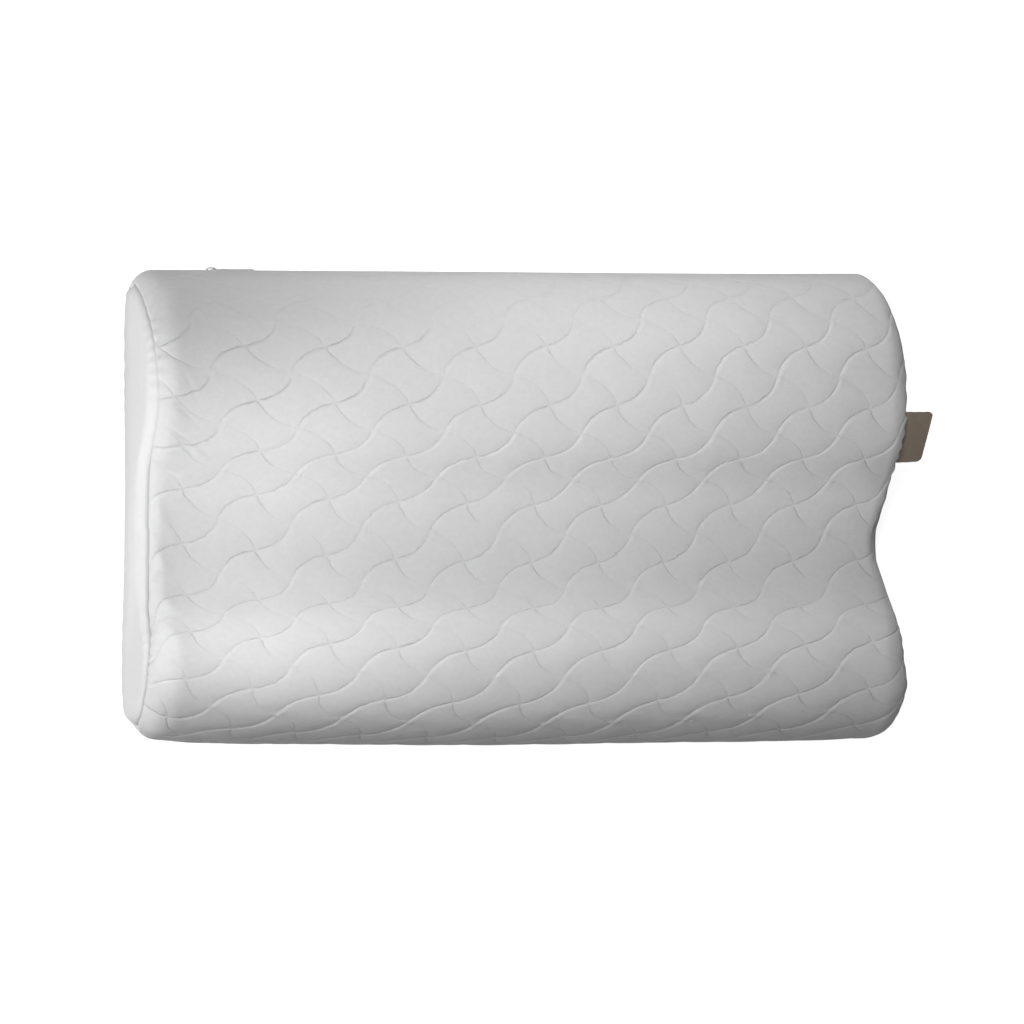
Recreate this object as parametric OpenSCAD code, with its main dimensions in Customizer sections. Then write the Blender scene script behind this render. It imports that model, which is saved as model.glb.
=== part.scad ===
// Contour (two-lobe) foam bed pillow with a quilted zip-off cover.
// Frame: +X along the length toward the end with the side label,
// +Y toward the high lobe (zipper side), +Z up. The origin is the centre
// of the flat underside, which rests on z = 0.

/* [Pillow size] */
// Length of the pillow, end panel to end panel (mm)
pillow_l = 500; // [460:5:560]
// Depth of the pillow, front face to zipper face (mm)
pillow_d = 300; // [280:5:340]
// Height of the high lobe (mm)
high_h = 100; // [90:1:120]
// Height of the low lobe (mm)
low_h = 82; // [70:1:95]
// Radius of the high lobe (mm)
high_r = 68; // [60:1:76]
// Radius of the low lobe (mm)
low_r = 44; // [38:1:50]
// Radius of the neck hollow between the lobes (mm)
hollow_r = 62; // [50:1:90]
// Radius of the bottom corner on the zipper side (mm)
back_corner_r = 12; // [9:1:14]
// Radius of the bottom corner on the front side (mm)
front_corner_r = 18; // [12:1:24]

/* [Fabric layers] */
// Thickness of the knitted face fabric (mm)
face_t = 1.2; // [0.8:0.1:1.2]
// Thickness of the quilt wadding (mm)
wadding_t = 2.5; // [1.5:0.1:2.5]
// Thickness of the quilt backing (mm)
backing_t = 0.8; // [0.4:0.1:0.8]
// Thickness of the inner liner (mm)
liner_t = 0.8; // [0.4:0.1:0.8]
// Air gap kept between two layers (mm)
layer_gap = 0.3; // [0.2:0.05:0.3]

/* [Zipper] */
// Length of the zipper opening (mm)
zip_l = 400; // [340:10:420]
// Height of the zipper centre line above the underside (mm)
zip_z = 22; // [21:0.5:23]
// Width of the slot in the cover over the zipper (mm)
slot_w = 10; // [9.6:0.2:10]
// Length of the pull tab (mm)
pull_l = 28; // [20:1:32]

/* [Labels] */
// Width of the side label along its seam (mm)
label_w = 36; // [25:1:40]
// How far the side label stands out of the seam (mm)
label_l = 18; // [12:1:22]
// Place of the middle of the side label along Y (mm)
label_y = 36; // [34:1:48]
// How far the label's seam lies below the top edge of the end (mm)
label_drop = 7.5; // [0:0.5:10]

/* [Hidden] */
$fn = 96;
hl = pillow_l / 2;
hd = pillow_d / 2;

// centres of the lobe circles, and of the hollow circle tangent to both
c1y = hd - high_r;
c1z = high_h - high_r;
c2y = low_r - hd;
c2z = low_h - low_r;
cc = sqrt(pow(c1y - c2y, 2) + pow(c1z - c2z, 2));
sa = high_r + hollow_r;
sb = low_r + hollow_r;
along = (sa * sa - sb * sb + cc * cc) / (2 * cc);
up = sqrt(sa * sa - along * along);
uy = (c2y - c1y) / cc;
uz = (c2z - c1z) / cc;
c3y = c1y + uy * along + uz * up;
c3z = c1z + uz * along - uy * up;

// layer depths measured inward from the outer surface
o_face = face_t;
o_wad0 = face_t + layer_gap;
o_wad1 = o_wad0 + wadding_t;
o_back0 = o_wad1 + layer_gap;
o_back1 = o_back0 + backing_t;
o_lin0 = o_back1 + layer_gap + 0.1;
o_lin1 = o_lin0 + liner_t;
o_foam = o_lin1 + layer_gap;
b_lin0 = face_t + layer_gap;
b_lin1 = b_lin0 + liner_t;
b_foam = b_lin1 + layer_gap;

// lengths along X
x_panel = hl - face_t;
x_wrap = x_panel - layer_gap;
x_lcap1 = x_panel - layer_gap;
x_lcap0 = x_lcap1 - liner_t;
x_sleeve = x_lcap0 - layer_gap;
quilt_edge_z = zip_z + 12.5;
seam_z = 9;

// zipper stack, measured from the zipper face at y = hd
ty1 = hd - 2.8;
ty0 = ty1 - 0.6;
cy0 = ty1 + 0.2;
cy1 = cy0 + 2.0;
coil_w = 2.4;
coil_gap = 1.2;
coil_x = zip_l / 2 - 4.2;
slider_x = coil_x - 6.2;
pull_y = hd + 1.7;

// slope of the seam under the side label
lab_a = asin((c1y - label_y) / high_r);
lab_z = c1z + sqrt(high_r * high_r - pow(c1y - label_y, 2));

// half disc above its centre
module cap2(y, z, r) {
    translate([y, z]) intersection() {
        circle(r = r);
        translate([-r - 1, 0]) square([2 * r + 2, r + 1]);
    }
}

// pillow section at depth o (lobes and walls) and b (underside)
module section(o, b) {
    difference() {
        union() {
            cap2(c1y, c1z, high_r - o);
            cap2(c2y, c2z, low_r - o);
            polygon([[hd - o, back_corner_r - o + b], [hd - o, c1z],
                [c1y, c1z], [c3y, c3z], [c2y, c2z], [o - hd, c2z],
                [o - hd, front_corner_r - o + b],
                [front_corner_r - hd, b], [hd - back_corner_r, b]]);
            translate([hd - back_corner_r, back_corner_r - o + b])
                circle(r = back_corner_r - o);
            translate([front_corner_r - hd, front_corner_r - o + b])
                circle(r = front_corner_r - o);
        }
        translate([c3y, c3z]) circle(r = hollow_r + o);
    }
}

// shell between two depths
module shell(o0, o1, b0, b1) {
    difference() {
        section(o0, b0);
        section(o1, b1);
    }
}

// extrude a (y, z) drawing along X between two stations
module along_x(x0, x1) {
    translate([x0, 0, 0]) rotate([90, 0, 90]) linear_extrude(height = x1 - x0)
        children();
}

// box between two corners
module span(a, b) {
    translate(a) cube([b[0] - a[0], b[1] - a[1], b[2] - a[2]]);
}

module foam_core() {
    color([0.93, 0.90, 0.78])
        along_x(-x_sleeve, x_sleeve) section(o_foam, b_foam);
}

module liner_sleeve() {
    color([0.96, 0.96, 0.94])
        along_x(-x_sleeve, x_sleeve) shell(o_lin0, o_lin1, b_lin0, b_lin1);
}

module liner_end(x0, x1) {
    color([0.95, 0.95, 0.93]) along_x(x0, x1) section(o_lin0, b_lin0);
}

module liner_end_left() {
    liner_end(-x_lcap1, -x_lcap0);
}

module liner_end_right() {
    liner_end(x_lcap0, x_lcap1);
}

// the part of a shell that the quilt covers: zipper edge, top, front
module quilt_zone(z_back, z_front) {
    difference() {
        children();
        translate([0, -1]) square([hd + 20, z_back + 1]);
        translate([-hd - 20, -1]) square([hd + 30, z_front + 1]);
    }
}

module quilt_layer(o0, o1) {
    along_x(-x_wrap + 9, x_wrap - 9)
        quilt_zone(quilt_edge_z, front_corner_r + 1) shell(o0, o1, 0, 1);
}

module quilt_backing() {
    color([0.90, 0.90, 0.90]) quilt_layer(o_back0, o_back1);
}

module quilt_wadding() {
    color([0.97, 0.97, 0.97]) quilt_layer(o_wad0, o_wad1);
}

module zip_slot() {
    span([-zip_l / 2 - 1, hd - 8, zip_z - slot_w / 2],
        [zip_l / 2 + 1, hd + 2, zip_z + slot_w / 2]);
}

module quilt_face() {
    color([0.94, 0.94, 0.94]) difference() {
        along_x(-x_wrap, x_wrap)
            quilt_zone(zip_z + 0.15, seam_z + 0.15) shell(0, o_face, 0, o_face);
        zip_slot();
    }
}

module base_panel() {
    color([0.92, 0.92, 0.92]) difference() {
        along_x(-x_wrap, x_wrap) difference() {
            shell(0, o_face, 0, o_face);
            translate([0, zip_z - 0.15]) square([hd + 20, high_h + 20]);
            translate([-hd - 20, seam_z - 0.15])
                square([hd + 30, high_h + 20]);
        }
        zip_slot();
    }
}

module end_panel(x0, x1) {
    color([0.95, 0.95, 0.95]) along_x(x0, x1) section(0, 0);
}

module end_panel_left() {
    end_panel(-hl, -x_panel);
}

module end_panel_right() {
    end_panel(x_panel, hl);
}

// turned-in fabric edges and thread around an end panel
module seam_ring(x0, x1) {
    color([0.88, 0.88, 0.88]) along_x(x0, x1)
        quilt_zone(quilt_edge_z, front_corner_r + 1)
            shell(o_wad0, o_wad0 + 2, 0, 1);
}

module seam_left() {
    seam_ring(-x_wrap, -x_wrap + 8);
}

module seam_right() {
    seam_ring(x_wrap - 8, x_wrap);
}

// turned-in edges where the quilt meets the underside panel at the front
module seam_front() {
    color([0.88, 0.88, 0.88]) along_x(-x_sleeve, x_sleeve) intersection() {
        shell(o_wad0, o_wad0 + 1.2, o_wad0, o_wad0 + 1.2);
        translate([-hd - 5, 7.5]) square([30, 7.5]);
    }
}

module zip_tape_upper() {
    color([0.90, 0.90, 0.90])
        span([-zip_l / 2 - 4, ty0, zip_z + coil_gap / 2 + 0.4],
            [zip_l / 2 + 4, ty1, zip_z + 12]);
}

module zip_tape_lower() {
    color([0.90, 0.90, 0.90])
        span([-zip_l / 2 - 4, ty0, zip_z - 12],
            [zip_l / 2 + 4, ty1, zip_z - coil_gap / 2 - 0.4]);
}

module zip_coil_upper() {
    color([0.86, 0.86, 0.86])
        span([-coil_x, cy0, zip_z + coil_gap / 2],
            [coil_x, cy1, zip_z + coil_gap / 2 + coil_w]);
}

module zip_coil_lower() {
    color([0.86, 0.86, 0.86])
        span([-coil_x, cy0, zip_z - coil_gap / 2 - coil_w],
            [coil_x, cy1, zip_z - coil_gap / 2]);
}

module zip_stop_closed() {
    color([0.75, 0.75, 0.76])
        span([-coil_x - 3.4, cy0, zip_z - 3], [-coil_x - 0.2, cy1 + 0.2, zip_z + 3]);
}

module zip_stop_open() {
    color([0.75, 0.75, 0.76])
        span([coil_x + 0.2, cy0, zip_z - 3], [coil_x + 3.4, cy1 + 0.2, zip_z + 3]);
}

module zip_stitching() {
    color([0.85, 0.85, 0.85]) {
        for (s = [-1, 1])
            translate([0, 0, zip_z + s * (slot_w / 2 + 2)])
                span([-zip_l / 2 - 3.4, hd + 0.02, -0.25],
                    [zip_l / 2 + 3.4, hd + 0.3, 0.25]);
        for (s = [-1, 1])
            translate([s * (zip_l / 2 + 3.2), 0, 0])
                span([-0.25, hd + 0.02, zip_z - slot_w / 2 - 2],
                    [0.25, hd + 0.3, zip_z + slot_w / 2 + 2]);
    }
}

module care_label() {
    color([0.97, 0.97, 0.97])
        span([60, hd - 5.0, 5], [95, hd - 4.6, 16.5]);
}

// slider at the closed end of its travel, over the left end of the coils
module zip_slider() {
    color([0.78, 0.78, 0.80]) translate([-slider_x, 0, zip_z]) {
        // front plate
        span([-5.5, cy1 + 0.4, -4.3], [5.5, hd + 0.8, 4.3]);
        // side flanges outside the coils
        for (s = [0, 1]) mirror([0, 0, s])
            span([-5.5, ty1 + 0.4, 3.3], [5.5, cy1 + 0.5, 4.3]);
        // back plate behind the tapes
        span([-5.5, hd - 5.0, -4.3], [5.5, ty0 - 0.4, 4.3]);
        // wedge post between the coils
        span([-5.5, ty0 - 0.5, -0.3], [-3.5, cy1 + 0.5, 0.3]);
        // bail for the pull tab
        span([-3.6, hd + 0.7, -0.8], [-2.4, hd + 3.5, 0.8]);
        span([2.4, hd + 0.7, -0.8], [3.6, hd + 3.5, 0.8]);
        span([-3.6, hd + 2.5, -0.8], [3.6, hd + 3.5, 0.8]);
    }
}

// pull tab lying flat, hung on the bail by its cross pin
module zip_pull() {
    color([0.80, 0.80, 0.82]) translate([-slider_x, pull_y, zip_z]) {
        translate([0, 0, -2.0]) cylinder(r = 0.45, h = 4.0);
        for (s = [0, 1]) mirror([0, 0, s])
            span([-0.45, -0.5, 1.15], [4.6, 0.5, 2.3]);
        span([4.4, -0.5, -2.3], [pull_l - 2.75, 0.5, 2.3]);
        translate([pull_l - 2.75, 0, 0]) rotate([90, 0, 0])
            translate([0, 0, -0.5]) cylinder(r = 2.75, h = 1.0);
    }
}

// folded label standing out of the seam of the right end panel
module side_label() {
    color([0.42, 0.38, 0.33]) translate([hl, label_y, lab_z])
        rotate([lab_a, 0, 0])
            span([0.8, -label_w / 2, -2.0 - label_drop],
                [label_l, label_w / 2, -1.2 - label_drop]);
}

foam_core();
liner_sleeve();
liner_end_left();
liner_end_right();
quilt_backing();
quilt_wadding();
quilt_face();
base_panel();
end_panel_left();
end_panel_right();
seam_left();
seam_right();
seam_front();
zip_tape_upper();
zip_tape_lower();
zip_coil_upper();
zip_coil_lower();
zip_stop_closed();
zip_stop_open();
zip_stitching();
care_label();
zip_slider();
zip_pull();
side_label();
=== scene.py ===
import math

import bpy
import numpy as np
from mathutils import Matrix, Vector
from mathutils.geometry import delaunay_2d_cdt
from mathutils.kdtree import KDTree


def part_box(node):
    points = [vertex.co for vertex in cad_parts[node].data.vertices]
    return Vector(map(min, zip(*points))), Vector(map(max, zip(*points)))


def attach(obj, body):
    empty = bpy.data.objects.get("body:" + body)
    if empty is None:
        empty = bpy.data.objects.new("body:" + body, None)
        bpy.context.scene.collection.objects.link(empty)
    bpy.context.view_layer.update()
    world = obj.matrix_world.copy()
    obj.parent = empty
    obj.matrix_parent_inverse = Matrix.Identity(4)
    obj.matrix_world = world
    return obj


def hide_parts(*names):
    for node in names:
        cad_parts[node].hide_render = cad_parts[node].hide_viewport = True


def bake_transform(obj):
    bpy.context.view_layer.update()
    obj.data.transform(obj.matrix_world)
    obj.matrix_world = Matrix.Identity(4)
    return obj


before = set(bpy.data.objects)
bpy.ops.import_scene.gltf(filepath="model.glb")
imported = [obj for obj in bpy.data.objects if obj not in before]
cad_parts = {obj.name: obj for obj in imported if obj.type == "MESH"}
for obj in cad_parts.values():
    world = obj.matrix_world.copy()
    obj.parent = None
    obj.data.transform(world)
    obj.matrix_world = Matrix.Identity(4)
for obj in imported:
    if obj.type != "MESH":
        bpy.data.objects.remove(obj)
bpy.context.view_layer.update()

RNG = np.random.default_rng(11)
MM = 0.001
PI = math.pi

# ------------------------------------------------------------------ sizes (mm)
# The same numbers as the CAD source: the section is arcs that touch.
HL, HD = 250.0, 150.0
H1, H2, R1, R2, R3 = 100.0, 82.0, 68.0, 44.0, 62.0
RB, RF = 12.0, 18.0
ZIP_Z, ZIP_HALF = 22.0, 200.0
C1 = np.array([HD - R1, H1 - R1])
C2 = np.array([R2 - HD, H2 - R2])
_cc = float(np.hypot(*(C1 - C2)))
_al = ((R1 + R3) ** 2 - (R2 + R3) ** 2 + _cc * _cc) / (2 * _cc)
_up = math.sqrt((R1 + R3) ** 2 - _al * _al)
_u = (C2 - C1) / _cc
C3 = np.array([C1[0] + _u[0] * _al + _u[1] * _up, C1[1] + _u[1] * _al - _u[0] * _up])
A1 = math.atan2(C3[1] - C1[1], C3[0] - C1[0])
A3 = A1 - PI
A2 = math.atan2(C3[1] - C2[1], C3[0] - C2[0])
A3E = A2 - PI
_len = [H1 - R1 - RB, R1 * A1, R3 * (A3 - A3E), R2 * (PI - A2), H2 - R2 - RF,
        RF * PI / 2, 2 * HD - RB - RF, RB * PI / 2]
B = np.concatenate([[0.0], np.cumsum(_len)])
T = float(B[-1])
S_CROWN1 = B[1] + R1 * PI / 2
S_VALLEY = B[2] + R3 * (A3 + PI / 2)
S_CROWN2 = B[3] + R2 * (PI / 2 - A2)
S_ZIP_UP, S_ZIP_LOW = 27.0 - RB, T + 17.0 - RB
S_FRONT = B[5] + RF * math.asin((RF - 9.0) / RF)


def outline(s):
    """(y, z, ny, nz) of the section at arc length s, from the back face's lower end, up and over."""
    s = np.mod(np.asarray(s, float), T)
    y, z = np.zeros_like(s), np.zeros_like(s)
    ny, nz = np.zeros_like(s), np.zeros_like(s)
    m = s < B[1]
    y[m], z[m], ny[m] = HD, RB + s[m], 1.0
    for k, c, r, a0, turn, out in ((1, C1, R1, 0.0, 1, 1), (2, C3, R3, A3, -1, -1),
                                   (3, C2, R2, A2, 1, 1),
                                   (5, np.array([RF - HD, RF]), RF, PI, 1, 1),
                                   (7, np.array([HD - RB, RB]), RB, -PI / 2, 1, 1)):
        m = (s >= B[k]) & (s < B[k + 1])
        a = a0 + turn * (s[m] - B[k]) / r
        y[m], z[m] = c[0] + r * np.cos(a), c[1] + r * np.sin(a)
        ny[m], nz[m] = out * np.cos(a), out * np.sin(a)
    m = (s >= B[4]) & (s < B[5])
    y[m], z[m], ny[m] = -HD, C2[1] - (s[m] - B[4]), -1.0
    m = (s >= B[6]) & (s < B[7])
    y[m], z[m], nz[m] = RF - HD + (s[m] - B[6]), 0.0, -1.0
    return y, z, ny, nz


def smooth(t):
    t = np.clip(t, 0, 1)
    return t * t * (3 - 2 * t)


def loop_curve(knots, width=7.0):
    """A smooth closed curve through (arc length, value) knots."""
    k = np.array(sorted((s % T, v) for s, v in knots))
    ss = np.arange(0, T, 1.0)
    v = np.interp(ss, np.r_[k[-1, 0] - T, k[:, 0], k[0, 0] + T], np.r_[k[-1, 1], k[:, 1], k[0, 1]])
    w = np.exp(-0.5 * (np.arange(-30, 31) / width) ** 2)
    w /= w.sum()
    v = np.convolve(np.r_[v[-30:], v, v[:30]], w, "valid")
    return lambda s: np.interp(np.mod(s, T), np.r_[ss, T], np.r_[v, v[0]])


# How the cover rolls over each end: radius and the angle at which the seam lies.
RHO = {
    -1: loop_curve([(0, 14), (15, 13), (50, 18), (75, 21), (S_CROWN1, 19), (B[2] - 15, 16), (S_VALLEY, 13),
                    (B[3] + 6, 17), (S_CROWN2, 23), (B[4] - 22, 21), (B[4], 15), (B[5], 13), (S_FRONT, 12),
                    (B[6] + 10, 7), (B[7] - 16, 7), (B[7] - 4, 11)]),
    1: loop_curve([(0, 9), (15, 9), (50, 12), (S_CROWN1, 17), (B[2] - 25, 12), (S_VALLEY, 9),
                   (B[3] + 6, 13), (S_CROWN2, 18), (B[4], 14), (B[5], 11), (S_FRONT, 11),
                   (B[6] + 10, 6), (B[7] - 10, 6)]),
}
THETA = {
    -1: loop_curve([(0, 1.15), (15, 1.17), (45, 1.33), (70, 1.34), (93, 1.235), (S_CROWN1, 1.065), (145, 0.985),
                    (160, 0.965), (175, 1.07), (190, 1.105), (220, 0.90), (S_VALLEY, 0.88), (280, 1.0), (296, 1.22),
                    (B[3] + 6, 1.36), (S_CROWN2, 1.42), (B[4] - 44, 1.42), (B[4] - 22, 1.38), (B[4], 1.21),
                    (B[5], 1.1), (S_FRONT, 1.0), (B[6] + 10, 1.05), (B[7] - 10, 1.05)]),
    1: loop_curve([(0, 1.20), (15, 1.22), (50, 1.35), (S_CROWN1, 1.52), (B[2] - 15, 1.30),
                   (S_VALLEY, 1.05), (B[3] + 6, 1.30), (S_CROWN2, 1.52), (B[4], 1.4),
                   (B[5], 1.2), (S_FRONT, 1.1), (B[6] + 10, 1.05), (B[7] - 10, 1.05)]),
}
# The ends aren't true planes: drawn in at the hollow, full at the lobes.
END_Y = {
    1: [(150, -7.0), (142, -6.0), (131, -3.2), (118, -1.6), (106, 0.0), (93, 1.0), (80, 1.5),
        (67, 1.8), (43, 2.8), (23, 3.4), (17, 2.8), (10, 1.4), (4, 0.3), (-2, -1.5), (-9, -3.6),
        (-15, -6.0), (-21, -7.4), (-28, -7.4), (-34, -6.4), (-40, -4.6), (-47, -2.6), (-53, -1.2),
        (-66, -0.2), (-91, -0.2), (-104, 0.6), (-116, 2.2), (-123, 2.8), (-135, 2.2), (-150, 0.0)],
    -1: [(150, -4.0), (80, -2.2), (45, -3.0), (20, -4.2), (-25, -6.5), (-60, -4.2), (-100, -1.2),
         (-150, 0.0)],
}
END_LOW = {1: [(150, -1.5), (0, 0.0), (-150, 0.0)], 
           -1: [(150, -7.4), (120, -6.0), (75, -5.0), (15, -4.2), (0, -3.6), (-45, -2.0), (-80, 0.0),
                (-112, 1.0), (-130, 0.4), (-142, -2.5), (-150, -5.0)]}


def end_at(side, y, z):
    k, low = np.array(sorted(END_Y[side])), np.array(sorted(END_LOW[side]))
    a = smooth((z - 6) / 34)
    return np.interp(y, k[:, 0], k[:, 1]) * a + np.interp(y, low[:, 0], low[:, 1]) * (1 - a)


def end_shift(side, s):
    y, z, _, _ = outline(s)
    return end_at(side, y, z)


def waves(n, lo, hi, seed):
    """Smooth seeded undulation over (x, s), about -1 to 1."""
    r = np.random.default_rng(seed)
    a = r.uniform(0, 2 * PI, n)
    k = 2 * PI / r.uniform(lo, hi, n)
    p = r.uniform(0, 2 * PI, n)
    q = r.uniform(0.5, 1.0, n)

    def f(x, s):
        out = np.zeros(np.broadcast(x, s).shape)
        for i in range(n):
            out += q[i] * np.sin(k[i] * (np.cos(a[i]) * x + np.sin(a[i]) * s) + p[i])
        return out / math.sqrt(n)
    return f


# ------------------------------------------------------------------ mesh tools
def make(name, verts, faces, uv=None):
    """A mesh piece from points in mm and faces of one size, smooth shaded."""
    verts = np.ascontiguousarray(np.asarray(verts, np.float32).reshape(-1, 3) * MM)
    faces = np.asarray(faces, np.int32)
    me = bpy.data.meshes.new(name)
    n, k = faces.shape
    me.vertices.add(len(verts))
    me.vertices.foreach_set("co", verts.ravel())
    me.loops.add(n * k)
    me.loops.foreach_set("vertex_index", faces.ravel())
    me.polygons.add(n)
    me.polygons.foreach_set("loop_start", np.arange(0, n * k, k, dtype=np.int32))
    me.polygons.foreach_set("use_smooth", np.ones(n, bool))
    if uv is not None:
        layer = me.uv_layers.new(name="fabric")
        layer.data.foreach_set("uv", np.asarray(uv, np.float32)[faces.ravel()].ravel())
    me.update(calc_edges=True)
    me.validate()
    ob = bpy.data.objects.new(name, me)
    bpy.context.scene.collection.objects.link(ob)
    return ob


def grid_faces(ni, nj, wrap_j=False, flip=False, base=0):
    i = np.arange(ni - 1)[:, None]
    j = np.arange(nj if wrap_j else nj - 1)[None, :]
    j2 = (j + 1) % nj
    f = np.stack([i * nj + j, (i + 1) * nj + j, (i + 1) * nj + j2, i * nj + j2], -1).reshape(-1, 4)
    return base + (f[:, ::-1] if flip else f)


def piece(ob, body, mat, slot, *replaced):
    ob.data.materials.clear()
    ob.data.materials.append(mat)
    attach(ob, body)
    if replaced:
        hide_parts(*replaced)
    return ob


# ------------------------------------------------------------------ materials
class Tree:
    def __init__(self, name):
        self.mat = bpy.data.materials.new(name)
        self.mat.use_nodes = True
        self.t = self.mat.node_tree
        self.bsdf = self.t.nodes["Principled BSDF"]

    def node(self, kind, **props):
        n = self.t.nodes.new(kind)
        for k, v in props.items():
            setattr(n, k, v)
        return n

    def link(self, a, b):
        self.t.links.new(a, b)

    def math(self, op, a, b=None, c=None):
        n = self.node("ShaderNodeMath", operation=op)
        for i, v in enumerate((a, b, c)):
            if v is None:
                continue
            if isinstance(v, (int, float)):
                n.inputs[i].default_value = v
            else:
                self.link(v, n.inputs[i])
        return n.outputs[0]

    def noise(self, vec, scale, detail=3.0, rough=0.55):
        n = self.node("ShaderNodeTexNoise")
        n.inputs["Scale"].default_value = scale
        n.inputs["Detail"].default_value = detail
        n.inputs["Roughness"].default_value = rough
        self.link(vec, n.inputs["Vector"])
        return n.outputs["Fac"]

    def ramp(self, fac, lo, hi, c0, c1):
        m = self.node("ShaderNodeMapRange")
        m.inputs["From Min"].default_value = lo
        m.inputs["From Max"].default_value = hi
        self.link(fac, m.inputs["Value"])
        x = self.node("ShaderNodeMix", data_type="RGBA")
        self.link(m.outputs["Result"], x.inputs["Factor"])
        x.inputs["A"].default_value = (*c0, 1)
        x.inputs["B"].default_value = (*c1, 1)
        return x.outputs["Result"]

    def bump(self, height, distance, strength=1.0, normal=None):
        b = self.node("ShaderNodeBump")
        b.inputs["Strength"].default_value = strength
        b.inputs["Distance"].default_value = distance
        self.link(height, b.inputs["Height"])
        if normal is not None:
            self.link(normal, b.inputs["Normal"])
        return b.outputs["Normal"]


def knit(name, dark, light, pitch=1.1, depth=0.10, fuzz=0.10, rough=0.93, sheen=0.25, ribs=False):
    """A knitted or woven cloth laid out in the piece's own flat cloth coordinates (mm)."""
    t = Tree(name)
    uv = t.node("ShaderNodeUVMap", uv_map="fabric")
    sep = t.node("ShaderNodeSeparateXYZ")
    t.link(uv.outputs["UV"], sep.inputs[0])
    x, y = sep.outputs[0], sep.outputs[1]
    obj = t.node("ShaderNodeTexCoord").outputs["Object"]
    fx = t.math("MULTIPLY", x, 1.0 / pitch)
    fy = t.math("MULTIPLY", y, 1.0 / (pitch * 0.8))
    if ribs:
        leg = t.math("ABSOLUTE", t.math("SINE", t.math("MULTIPLY", fx, PI)))
        rung = t.math("ABSOLUTE", t.math("SINE", t.math("MULTIPLY", fy, PI)))
        weave = t.math("MAXIMUM", t.math("MULTIPLY", leg, 0.8), rung)
    else:
        # columns of V-shaped loops
        tri = t.math("PINGPONG", fx, 0.5)
        leg = t.math("ABSOLUTE", t.math("SINE", t.math("MULTIPLY", fx, 2 * PI)))
        slant = t.math("ADD", fy, tri)
        loop = t.math("ABSOLUTE", t.math("SINE", t.math("MULTIPLY", slant, PI)))
        weave = t.math("MULTIPLY", t.math("POWER", leg, 0.6), t.math("ADD", t.math("MULTIPLY", loop, 0.7), 0.3))
    mottled = t.noise(obj, 260.0, 4.0, 0.6)
    cloud = t.noise(obj, 9.0, 3.0, 0.5)
    n1 = t.bump(t.noise(obj, 420.0, 5.0, 0.65), fuzz * MM, 1.0)
    n2 = t.bump(weave, depth * MM, 1.0, n1)
    t.link(n2, t.bsdf.inputs["Normal"])
    mix = t.math("ADD", t.math("MULTIPLY", mottled, 0.45), t.math("ADD", t.math("MULTIPLY", cloud, 0.35), t.math("MULTIPLY", weave, 0.2)))
    t.link(t.ramp(mix, 0.25, 0.75, dark, light), t.bsdf.inputs["Base Color"])
    r = t.node("ShaderNodeMapRange")
    r.inputs["To Min"].default_value = rough - 0.06
    r.inputs["To Max"].default_value = min(1.0, rough + 0.05)
    t.link(mottled, r.inputs["Value"])
    t.link(r.outputs["Result"], t.bsdf.inputs["Roughness"])
    t.bsdf.inputs["Sheen Weight"].default_value = sheen
    t.bsdf.inputs["Sheen Roughness"].default_value = 0.55
    t.bsdf.inputs["Specular IOR Level"].default_value = 0.25
    return t.mat


def plain(name, dark, light, scale, rough=0.6, bump=0.05, metal=0.0, spec=0.5, sheen=0.0, detail=4.0):
    """A moulded, metal or fibre finish with fine grain and wear, by object position."""
    t = Tree(name)
    obj = t.node("ShaderNodeTexCoord").outputs["Object"]
    grain = t.noise(obj, scale, detail, 0.6)
    cloud = t.noise(obj, scale * 0.12, 3.0, 0.5)
    mix = t.math("ADD", t.math("MULTIPLY", grain, 0.5), t.math("MULTIPLY", cloud, 0.5))
    t.link(t.ramp(mix, 0.3, 0.7, dark, light), t.bsdf.inputs["Base Color"])
    t.link(t.bump(grain, bump * MM, 1.0), t.bsdf.inputs["Normal"])
    r = t.node("ShaderNodeMapRange")
    r.inputs["To Min"].default_value = max(0.05, rough - 0.1)
    r.inputs["To Max"].default_value = min(1.0, rough + 0.1)
    t.link(cloud, r.inputs["Value"])
    t.link(r.outputs["Result"], t.bsdf.inputs["Roughness"])
    t.bsdf.inputs["Metallic"].default_value = metal
    t.bsdf.inputs["Specular IOR Level"].default_value = spec
    if sheen:
        t.bsdf.inputs["Sheen Weight"].default_value = sheen
        t.bsdf.inputs["Sheen Roughness"].default_value = 0.5
    return t.mat


# plain_knit is lighter than quilted_knit: partly the plain cloth's own tone, partly painted light standing in for the
# strong light on the left end panel
M_QUILT = knit("quilted_knit", (0.70, 0.70, 0.705), (0.80, 0.80, 0.80), pitch=1.0, depth=0.07, fuzz=0.16)
M_PLAIN = knit("plain_knit", (0.78, 0.78, 0.785), (0.86, 0.86, 0.86), pitch=0.9, depth=0.08, fuzz=0.10)
M_LABEL = knit("brown_ribbon", (0.235, 0.186, 0.140), (0.345, 0.282, 0.222), pitch=0.55, depth=0.10, fuzz=0.05,
               rough=0.78, sheen=0.15, ribs=True)
M_TAPE = knit("zip_tape_weave", (0.66, 0.66, 0.67), (0.78, 0.78, 0.78), pitch=0.7, depth=0.12, fuzz=0.05, ribs=True)
M_LINER = knit("liner_knit", (0.80, 0.80, 0.78), (0.88, 0.88, 0.86), pitch=0.8, depth=0.06, fuzz=0.05)
M_SATIN = knit("care_satin", (0.82, 0.82, 0.82), (0.90, 0.90, 0.90), pitch=0.4, depth=0.04, fuzz=0.03, rough=0.6, ribs=True)
M_THREAD = plain("sewing_thread", (0.70, 0.70, 0.70), (0.84, 0.84, 0.84), 3000.0, 0.65, 0.04, sheen=0.2)
M_FOAM = plain("memory_foam", (0.78, 0.72, 0.55), (0.90, 0.86, 0.72), 900.0, 0.9, 0.35, spec=0.2)
M_WAD = plain("wadding_fibre", (0.84, 0.84, 0.84), (0.93, 0.93, 0.93), 700.0, 0.95, 0.4, spec=0.2, sheen=0.3)
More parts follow.
